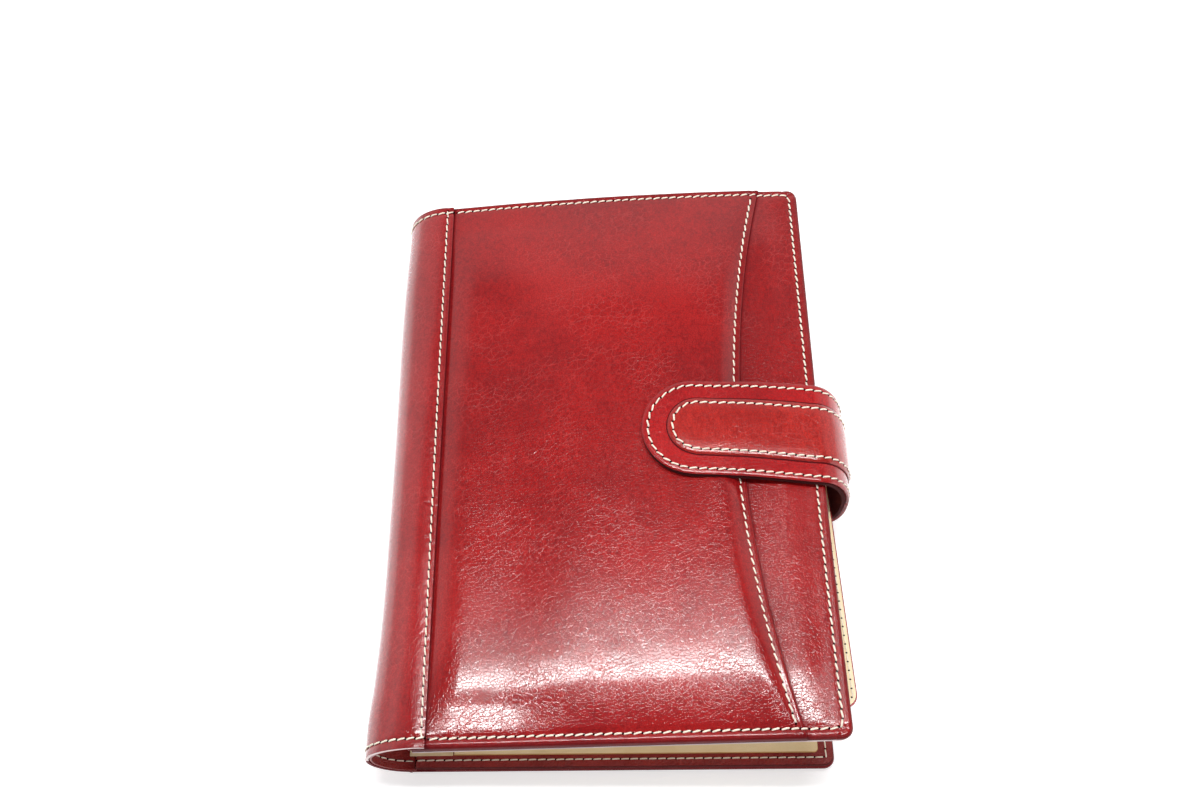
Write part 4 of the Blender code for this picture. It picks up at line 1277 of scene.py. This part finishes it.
def make_spine_seams(low, high):
    seam_z = CLOSED_THICKNESS - GROOVE_DEPTH * SPINE_SEAM_SINK
    up = front(0, 0, 1.0) - front(0, 0, 0.0)
    foot = -HALF_HEIGHT + BORDER_INSET
    head = HALF_HEIGHT - HEAD_INSET
    run = [(front(SEAM_X - seam_inset(y), y, seam_z), up) for _, y in line_points((0, foot), (0, head))]
    seam("spine_seam_stitches", run, SPINE_PITCH, "front", SPINE_THREAD, SPINE_SLANT)
    lining_top_x = SPINE_TANGENT_X - LINER_TOP_GAP
    inner_sections = spine_section(LINER_INSET + LINER_THICKNESS, SPINE_TANGENT_X, lining_top_x)
    for y, label in ((foot, "foot"), (head, "head")):
        for half, outer, inner in zip(SPINE_HALVES, (low, high), inner_sections):
            outer_run = section_run(outer, y, GROOVE_DEPTH * SPINE_END_SINK)
            inner_run = [(point, -normal) for point, normal in section_run(inner, y)]
            seam("spine_%s_stitches_%s" % (label, half.name), outer_run, STITCH_PITCH, half=half)
            seam("spine_%s_inner_stitches_%s" % (label, half.name), inner_run, STITCH_PITCH,
                 radius=FINE_THREAD, lean=FINE_SLANT, half=half)


def section_run(points, y, sink=0.0):
    """A run along a section of the spine, with normals to the left of its travel."""
    placed = [spine_point(point, y) for point in points]
    run = []
    for index, point in enumerate(placed):
        before = placed[max(index - 1, 0)]
        after = placed[min(index + 1, len(placed) - 1)]
        along = (after - before).normalized()
        normal = Vector((-along.z, 0.0, along.x))
        run.append((point - normal * sink, normal))
    return run


# Back cover

def back_layer(name, sides, radius, levels, roll, mat, rim_shade, slot, *nodes):
    """A flat layer of the back cover, square at the spine."""
    outline = rounded_outline(*sides, radius, False)
    piece = slab(name, outline, levels, roll, mat, rim_shade=rim_shade)
    settle(piece, slot, *nodes, body="back")


def make_back_cover():
    sides = (BACK_LEFT, FORE_EDGE_X, HALF_HEIGHT)
    # The rims of the back cover and its lining are darkened with painted shade; the pocket's rim takes its
    # real tan edge colour
    back_layer("back_leather", sides, CORNER_RADIUS, (0.0, BACK_RIM_Z), COVER_ROLL, red, BACK_RIM_SHADE,
               "red_leather", "back_panel", "back_board")
    sides = (LINING_LEFT, FORE_EDGE_X - BACK_LINING_INSET, HALF_HEIGHT - BACK_LINING_INSET)
    levels = (BACK_RIM_Z - BACK_LINING_DEPTH, BACK_INNER_Z)
    back_layer("back_liner", sides, CORNER_RADIUS, levels, BACK_LINING_ROLL, maroon, LINING_RIM_SHADE,
               "maroon_leather", "back_lining")
    half = HALF_HEIGHT - BACK_POCKET_INSET
    sides = (POCKET_LEFT, FORE_EDGE_X - BACK_POCKET_FORE_INSET, half)
    levels = (BACK_POCKET_LOW_Z, BACK_POCKET_TOP_Z)
    back_layer("back_pocket_leather", sides, BACK_POCKET_CORNER, levels, LAYER_ROLL, cream, POCKET_RIM_SHADE,
               "cream_leather", "back_pocket")
    sides = (STRIP_LEFT, POCKET_LEFT - STRIP_GAP, half)
    levels = (BACK_INNER_Z - STRIP_SINK, BACK_INNER_Z + STRIP_PROUD)
    back_layer("ring_strip", sides, SQUARE_CORNER, levels, STRIP_ROLL, cream, 0.0, "cream_leather")

    end = HALF_HEIGHT - BORDER_INSET
    path = border_path(SPINE_TANGENT_X + BORDER_START, FORE_EDGE_X - BORDER_INSET, -end, end,
                       BACK_STITCH_CORNER)
    inside = [(Vector((x, y, BACK_INNER_Z)), UP) for x, y in path]
    seam("back_lining_stitches", inside, STITCH_PITCH, "back", FINE_THREAD, FINE_SLANT)
    sunk = [(Vector((x, y, BACK_STITCH_Z)), -UP) for x, y in path]
    seam("back_cover_stitches", sunk, STITCH_PITCH, "back")


# Rings and leaves

def make_rings():
    rows = []
    for y in spaced(-RAIL_HALF_LENGTH, RAIL_HALF_LENGTH, RAIL_ROWS):
        row = []
        for part in range(RAIL_STEPS + 1):
            side = -1 + 2 * part / RAIL_STEPS
            row.append(Vector((RING_X + RAIL_HALF_WIDTH * side, y, RAIL_TOP_Z - RAIL_ARCH * side ** 2)))
        rows.append(row)
    rail = loft("rail_shell", rows, nickel, UP)
    thicken(rail, RAIL_THICKNESS, THIN_SOFT_EDGE)
    settle(rail, "nickel", "ring_rail", body="back")
    for node in ("rail_rivet_foot", "rail_rivet_head"):
        dress_node(node, nickel)
    for name, side in (("left", -1), ("right", 1)):
        make_ring_half(name, side)


def make_ring_half(name, side):
    """Half rings as round wires, riding with their spring plate."""
    wire = bpy.data.curves.new("ring_wires_" + name, "CURVE")
    wire.dimensions = "3D"
    wire.bevel_depth = RING_WIRE
    wire.bevel_resolution = 4
    wire.use_fill_caps = True
    tip = 90 - math.degrees(RING_TIP_GAP / RING_RADIUS)
    section = [(RING_ROOT_X, RING_BEND_Z - RING_BEND)]
    section += arc(RING_RADIUS - RING_BEND, RING_BEND_Z, RING_BEND, -90, steps=4)
    section += arc(0.0, RING_HEIGHT, RING_RADIUS, 0, tip, RING_STEPS)
    for y in RING_PLACES:
        add_spline(wire, [(RING_X + side * x, y, z) for x, z in section], False)
    wire.materials.append(nickel)
    piece = link(wire.name, wire)
    settle(piece, "nickel", "ring_half_" + name, body=name + "_rings")


def dress_node(node, mat):
    """Show a CAD node as it is, in its own material."""
    mesh = frame["nodes"][node].data
    mesh.materials.clear()
    mesh.materials.append(mat)


def rounded_corners(corners, radius, steps=6):
    """An outline through corners, each of them rounded by an arc."""
    points = []
    for index, corner in enumerate(corners):
        at = Vector(corner)
        back = (Vector(corners[index - 1]) - at).normalized()
        ahead = (Vector(corners[(index + 1) % len(corners)]) - at).normalized()
        half_angle = back.angle(ahead) / 2
        centre = at + (back + ahead).normalized() * radius / math.sin(half_angle)
        start = (at + back * radius / math.tan(half_angle) - centre).normalized()
        end = (at + ahead * radius / math.tan(half_angle) - centre).normalized()
        for step in range(steps + 1):
            points.append(tuple(centre + start.slerp(end, step / steps) * radius))
    return points


def leaf_outline(inset):
    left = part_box("leaf_face")[0].x + inset
    foot = -LEAF_HALF_HEIGHT + inset
    right = LEAF_RIGHT_X - inset
    corners = ((TAB_FOOT_X - inset, foot), (TAB_HEAD_X - inset, TAB_HEAD_Y),
               (right, TAB_HEAD_Y + TAB_SHOULDER), (right, -foot), (left, -foot), (left, foot))
    return rounded_corners(corners, LEAF_CORNER - inset)


def slot_outline(x0, x1, y, radius):
    """A hole with round ends, from x0 to x1 overall."""
    return arc(x1 - radius, y, radius, -90, 180) + arc(x0 + radius, y, radius, 90, 180)


def leaf_sheet(name, node, slot, inset, mat):
    """A flat sheet of the leaf with its holes and rounded edges, at the level of its CAD node."""
    low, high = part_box(node)
    curve = bpy.data.curves.new(name, "CURVE")
    curve.dimensions = "2D"
    curve.fill_mode = "BOTH"
    curve.extrude = (high.z - low.z) / 2 - LEAF_EDGE
    curve.bevel_depth = LEAF_EDGE
    curve.bevel_resolution = 2
    curve.offset = -LEAF_EDGE
    holes = [slot_outline(RING_X + SLOT_INNER, RING_X + SLOT_OUTER, y, PAGE_HOLE) for y in RING_PLACES]
    for outline in [leaf_outline(inset)] + holes:
        add_spline(curve, [(x, y, 0.0) for x, y in outline], True)
    curve.materials.append(mat)
    piece = link(name, curve)
    piece.location.z = (low.z + high.z) / 2
    return settle(piece, slot, node, body="front_leaves")


def make_leaves():
    dress_node("rear_pages", paper)
    dress_node("front_pages", paper)
    leaf_sheet("lit_leaf_cream", "leaf_face", "cream_leather", LEAF_FACE_INSET, lit_leaf_cream)
    leaf_sheet("leaf_red", "leaf_backing", "red_leather", 0.0, red)
    path = leaf_outline(LEAF_STITCH_INSET)
    face_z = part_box("leaf_face")[1].z
    run = []
    for start, end in zip(path, path[1:] + path[:1]):
        run += [(Vector((x, y, face_z)), UP) for x, y in line_points(start, end)]
    seam("leaf_stitches", run, STITCH_PITCH, "front_leaves", FINE_THREAD, FINE_SLANT)


# Strap

def fullness(value, power):
    """Push a sine or cosine outwards or inwards, so that a loop is fuller or slacker than an ellipse."""
    return math.copysign(abs(value) ** (2 / power), value)


def strap_path(inset):
    """Section of the strap from its tail on the back cover, round the loop, to the tip."""
    points = [Vector((LOOP_X - STRAP_TAIL, LOOP_LOW)), Vector((LOOP_X - STRAP_TAIL / 2, LOOP_LOW))]
    for part in range(LOOP_STEPS + 1):
        angle = math.pi * part / LOOP_STEPS
        power = LOOP_FULLNESS_LOW if part < LOOP_STEPS / 2 else LOOP_FULLNESS_TOP
        points.append(Vector((LOOP_X + LOOP_REACH * fullness(math.sin(angle), power),
                              LOOP_MID_Z - LOOP_RISE * fullness(math.cos(angle), power))))
    top_z = CENTRE_TOP_Z + CROWN_HEIGHT + STRAP_CLEARANCE + STRAP_DEPTH
    rest = front(bow_x(0.0) - REST_BESIDE_SEAM, 0.0, top_z).xz
    tip = front(STRAP_TIP_X, 0.0, top_z).xz
    start = Vector((LOOP_X, LOOP_TOP))
    for part in range(1, SPAN_STEPS + 1):
        share = part / SPAN_STEPS
        points.append(start.lerp(rest, share) + Vector((0.0, STRAP_CREST * math.sin(math.pi * share))))
    points += [rest.lerp(tip, part / REST_STEPS) for part in range(1, REST_STEPS + 1)]
    moved = []
    for index, point in enumerate(points):
        run = (points[min(index + 1, len(points) - 1)] - points[max(index - 1, 0)]).normalized()
        moved.append(point + Vector((-run.y, run.x)) * inset)
    return moved


class StrapLayer:
    """One layer of the strap: where a distance along it and a distance across it lie."""

    def __init__(self, inset, width, tip_inset, start=0.0, swell=0.0, rounded=STRAP_ROUNDED):
        self.path = strap_path(inset)
        self.lengths = running_lengths(self.path)
        self.length = self.lengths[-1] - tip_inset
        self.half = width / 2
        self.start = start
        self.swell = swell
        self.rounded = rounded
        self.split = self.lengths[2 + LOOP_STEPS // 2]

    def section(self, distance):
        index, share = locate(self.lengths, distance)
        before, after = self.path[index], self.path[index + 1]
        run = (after - before).normalized()
        return before.lerp(after, share), Vector((run.y, 0.0, -run.x))

    def across_y(self, distance, across):
        """Where a distance across lies. The middle wanders, and the head side is let out at the loop."""
        from_loop = distance - self.lengths[-1] + LOOP_X - STRAP_TIP_X
        flare = smooth(STRAP_FLARE, from_loop) * max(across, 0.0) / (STRAP_WIDTH / 2)
        return smooth(STRAP_MIDDLE, from_loop) + across + flare

    def reach(self, distance, inset=0.0):
        """Half the width at a distance along the strap, less an inset from its edge."""
        half = self.half - inset
        from_tip = self.length - inset - distance
        if from_tip >= half:
            return half
        return math.sqrt(max(half ** 2 - (half - max(from_tip, 0.0)) ** 2, 0.0))

    def edge(self, distance, across):
        """Distance from a point of the layer to its outline."""
        from_tip = self.length - distance
        if from_tip < self.half:
            return max(self.half - math.hypot(self.half - from_tip, across), 0.0)
        return self.half - abs(across)

    def lift(self, edge):
        """Rise of the layer's face at a distance from its outline."""
        return self.swell * dome(edge / SWELL_REACH) - self.rounded * max(1 - edge / STRAP_EDGE, 0.0) ** 2

    def place(self, distance, across, sink=0.0):
        at, outward = self.section(distance)
        lift = self.lift(self.edge(distance, across)) - sink
        return Vector((at.x, self.across_y(distance, across), at.y)) + outward * lift, outward

    def span(self, half, start_gap=0.0, tip_gap=0.0):
        """Where one half of the layer starts and ends."""
        if half.name == "low":
            return self.start + start_gap, self.split
        return self.split, self.length - tip_gap

    def stations(self, low, high, step):
        """Distances from low to high, crowded at the round tip."""
        straight_end = min(high, self.length - self.half)
        count = max(1, round((straight_end - low) / step))
        values = [low + (straight_end - low) * index / count for index in range(count + 1)]
        if high > straight_end:
            for part in range(1, TIP_STEPS + 1):
                angle = math.pi / 2 * part / TIP_STEPS
                values.append(straight_end + self.half * min(math.sin(angle), TIP_LAST))
        return values


STRAP_LOW_FOLD = (Vector((LOOP_X, 0, LOOP_LOW)), Vector((LOOP_X + LOOP_REACH, 0, LOOP_MID_Z)))
STRAP_HIGH_FOLD = (Vector((LOOP_X + LOOP_REACH, 0, LOOP_MID_Z)), Vector((LOOP_X, 0, LOOP_TOP)))
STRAP_HALVES = (Half("low", ("back", "strap_loop"), STRAP_LOW_FOLD, Vector((1, 0, -0.3))),
                Half("high", ("strap_loop", "strap_end"), STRAP_HIGH_FOLD, Vector((1, 0, 1))))


def strap_piece(name, layer, thickness, mat, edge, slot, *nodes, shade=STRAP_BASE_SHADE):
    """Both halves of a strap layer, split at the loop's outermost point. The upper stands for the nodes."""
    columns = [-value for value in HALF_COLUMNS] + [0] + list(reversed(HALF_COLUMNS))
    for half, stands_for in zip(STRAP_HALVES, ((), nodes)):
        rows = []
        shades = []
        for distance in layer.stations(*layer.span(half), STRAP_STEP):
            places = [layer.reach(distance) * share for share in columns]
            rows.append([layer.place(distance, across)[0] for across in places])
            # Painted shade towards the layer's edges, over the layer's base value
            near = [fade(layer.edge(distance, across), STRAP_SHADE_REACH) for across in places]
            shades += [shade + STRAP_EDGE_SHADE * share for share in near]
        bending("%s_%s" % (name, half.name), rows, shades, mat, half, thickness, edge, slot, *stands_for)


def strap_seam(name, layer, inset):
    """Stitches along both edges and round the tip of a layer, in two halves."""
    for half in STRAP_HALVES:
        low, high = layer.span(half, BORDER_START, inset)
        sides = []
        for side in (-1, 1):
            sides.append([layer.place(distance, side * layer.reach(distance, inset), STITCH_SINK)
                          for distance in layer.stations(low, high, RUN_STEP) if distance <= high])
        runs = [sides[0] + list(reversed(sides[1]))] if half.name == "high" else sides
        for index, run in enumerate(runs):
            seam("%s_%s_%d" % (name, half.name, index), run, STRAP_PITCH, half=half)


def make_strap():
    band = StrapLayer(0.0, STRAP_WIDTH, 0.0)
    strap_piece("strap_leather", band, STRAP_LEATHER, strap_red, STRAP_SOFT_EDGE, "red_leather",
                "strap_band", "strap_magnet")
    strap_seam("strap_stitches", band, STRAP_STITCH_INSET)
    backing = StrapLayer(STRAP_LEATHER + BACKING_GAP, STRAP_WIDTH - 2 * BACKING_INSET, BACKING_INSET,
                         start=STRAP_TAIL, rounded=0.0)
    # The backing's shade value darkens it towards near black: painted shade inside the loop and under the
    # strap
    strap_piece("strap_liner", backing, STRAP_DEPTH - STRAP_LEATHER, maroon, STRAP_SOFT_EDGE,
                "maroon_leather", "strap_backing", shade=STRAP_LINING_SHADE)
    # A dark strip just outside the inlay's outline: the inlay's cut edge, and painted shadow under its lip
    under = StrapLayer(-INLAY_EDGE_RISE, INLAY_WIDTH + 2 * INLAY_EDGE_PROUD,
                       INLAY_TIP_INSET - INLAY_EDGE_TIP, start=INLAY_START, rounded=0.0)
    strap_piece("inlay_edge", under, INLAY_EDGE_THICKNESS, strap_red, INLAY_EDGE_SOFT_EDGE, "red_leather",
                shade=INLAY_EDGE_SHADE)
    inlay = StrapLayer(-INLAY_RISE, INLAY_WIDTH, INLAY_TIP_INSET, start=INLAY_START, swell=INLAY_SWELL,
                       rounded=INLAY_ROUNDED)
    strap_piece("strap_inlay_leather", inlay, INLAY_THICKNESS, inlay_red, INLAY_SOFT_EDGE, "red_leather",
                "strap_inlay")
    strap_seam("inlay_stitches", inlay, INLAY_STITCH_INSET)


# Stage, light and camera

def make_stage():
    """A pale floor that keeps the object's shadow, and that the camera and reflections see as near white."""
    sides = ((-1, -1), (1, -1), (1, 1), (-1, 1))
    corners = [Vector((x * FLOOR_SIZE, y * FLOOR_SIZE, FLOOR_Z)) for x, y in sides]
    graph = material_graph("floor")
    path = graph.node("LightPath")
    to_camera = graph.math("MULTIPLY", path.outputs["Is Camera Ray"], FLOOR_GLOW)
    mirrored = graph.math("MAXIMUM", path.outputs["Is Glossy Ray"], path.outputs["Is Transmission Ray"])
    glow = graph.node("Emission", Color=WHITE, Strength=graph.math("ADD", to_camera, mirrored))
    both = graph.node("AddShader")
    graph.set(both, "0", graph.shader.outputs[0])
    graph.set(both, "1", glow.outputs[0])
    graph.set(graph.tree.nodes["Material Output"], "Surface", both.outputs[0])
    graph.finish(Base_Color=color(0.72, 0.72, 0.73), Roughness=0.9, Specular_IOR_Level=0.1)
    new_mesh("floor", corners, [(0, 1, 2, 3)], graph.owner)


def make_world():
    """A pale backdrop behind the head and round the horizon, dim overhead, and white to the camera."""
    graph = Graph(bpy.data.worlds.new("studio"))
    lean = graph.node("VectorMath", {"operation": "DOT_PRODUCT"})
    graph.set(lean, "0", graph.node("TexCoord").outputs["Generated"])
    graph.set(lean, "1", BACKDROP_LEAN)
    glow = graph.ramp(lean.outputs["Value"], *BACKDROP_EDGE, *BACKDROP_LEVELS)
    seen = graph.node("LightPath").outputs["Is Camera Ray"]
    bpy.context.scene.world = graph.finish(Color=WHITE, Strength=graph.math("MAXIMUM", glow, seen))


def area_light(name, place, aim, size, power):
    lamp = bpy.data.lights.new(name, "AREA")
    lamp.shape = "RECTANGLE"
    lamp.size, lamp.size_y = size
    lamp.energy = power
    obj = link(name, lamp)
    obj.location = place
    obj.rotation_mode = "QUATERNION"
    obj.rotation_quaternion = (Vector(aim) - Vector(place)).to_track_quat("-Z", "Y")


def make_lights():
    """A bright strip overhead that fades out towards the head, and soft light from the sides."""
    for index, (start, end, power) in enumerate(zip(STRIP_PLACES, STRIP_PLACES[1:], STRIP_LEVELS)):
        middle = (start + end) / 2
        width = end - start
        area_light("strip_%d" % index, (STRIP_X, middle, STRIP_HEIGHT), (STRIP_X, middle, 0.0),
                   (STRIP_LENGTH, width), power * math.pi * STRIP_LENGTH * width)
    for name, place, size, power in SOFT_LIGHTS:
        area_light(name, place, SOFT_AIM, size, power)


def make_camera():
    data = bpy.data.cameras.new("camera")
    data.sensor_width = SENSOR_WIDTH
    data.lens = FOCAL_PIXELS / IMAGE_WIDTH * SENSOR_WIDTH
    data.clip_start = CLIP_START
    data.clip_end = CLIP_END
    camera = link("camera", data)
    level_right = Vector((math.cos(CAMERA_YAW), math.sin(CAMERA_YAW), 0.0))
    flat = math.cos(CAMERA_PITCH)
    forward = Vector((-math.sin(CAMERA_YAW) * flat, math.cos(CAMERA_YAW) * flat, -math.sin(CAMERA_PITCH)))
    level_up = level_right.cross(forward)
    right = level_right * math.cos(CAMERA_ROLL) + level_up * math.sin(CAMERA_ROLL)
    up = level_up * math.cos(CAMERA_ROLL) - level_right * math.sin(CAMERA_ROLL)
    turn = Matrix((right, up, -forward)).transposed()
    camera.matrix_world = Matrix.Translation(CAMERA_PLACE) @ turn.to_4x4()
    bpy.context.scene.camera = camera


make_back_cover()
make_rings()
make_leaves()
make_spine()
make_front_edges()
make_fore_edge_leather()
make_centre_leather()
make_front_seams()
make_strap()
make_stage()
make_world()
make_lights()
make_camera()
bpy.context.scene.view_settings.view_transform = "Standard"
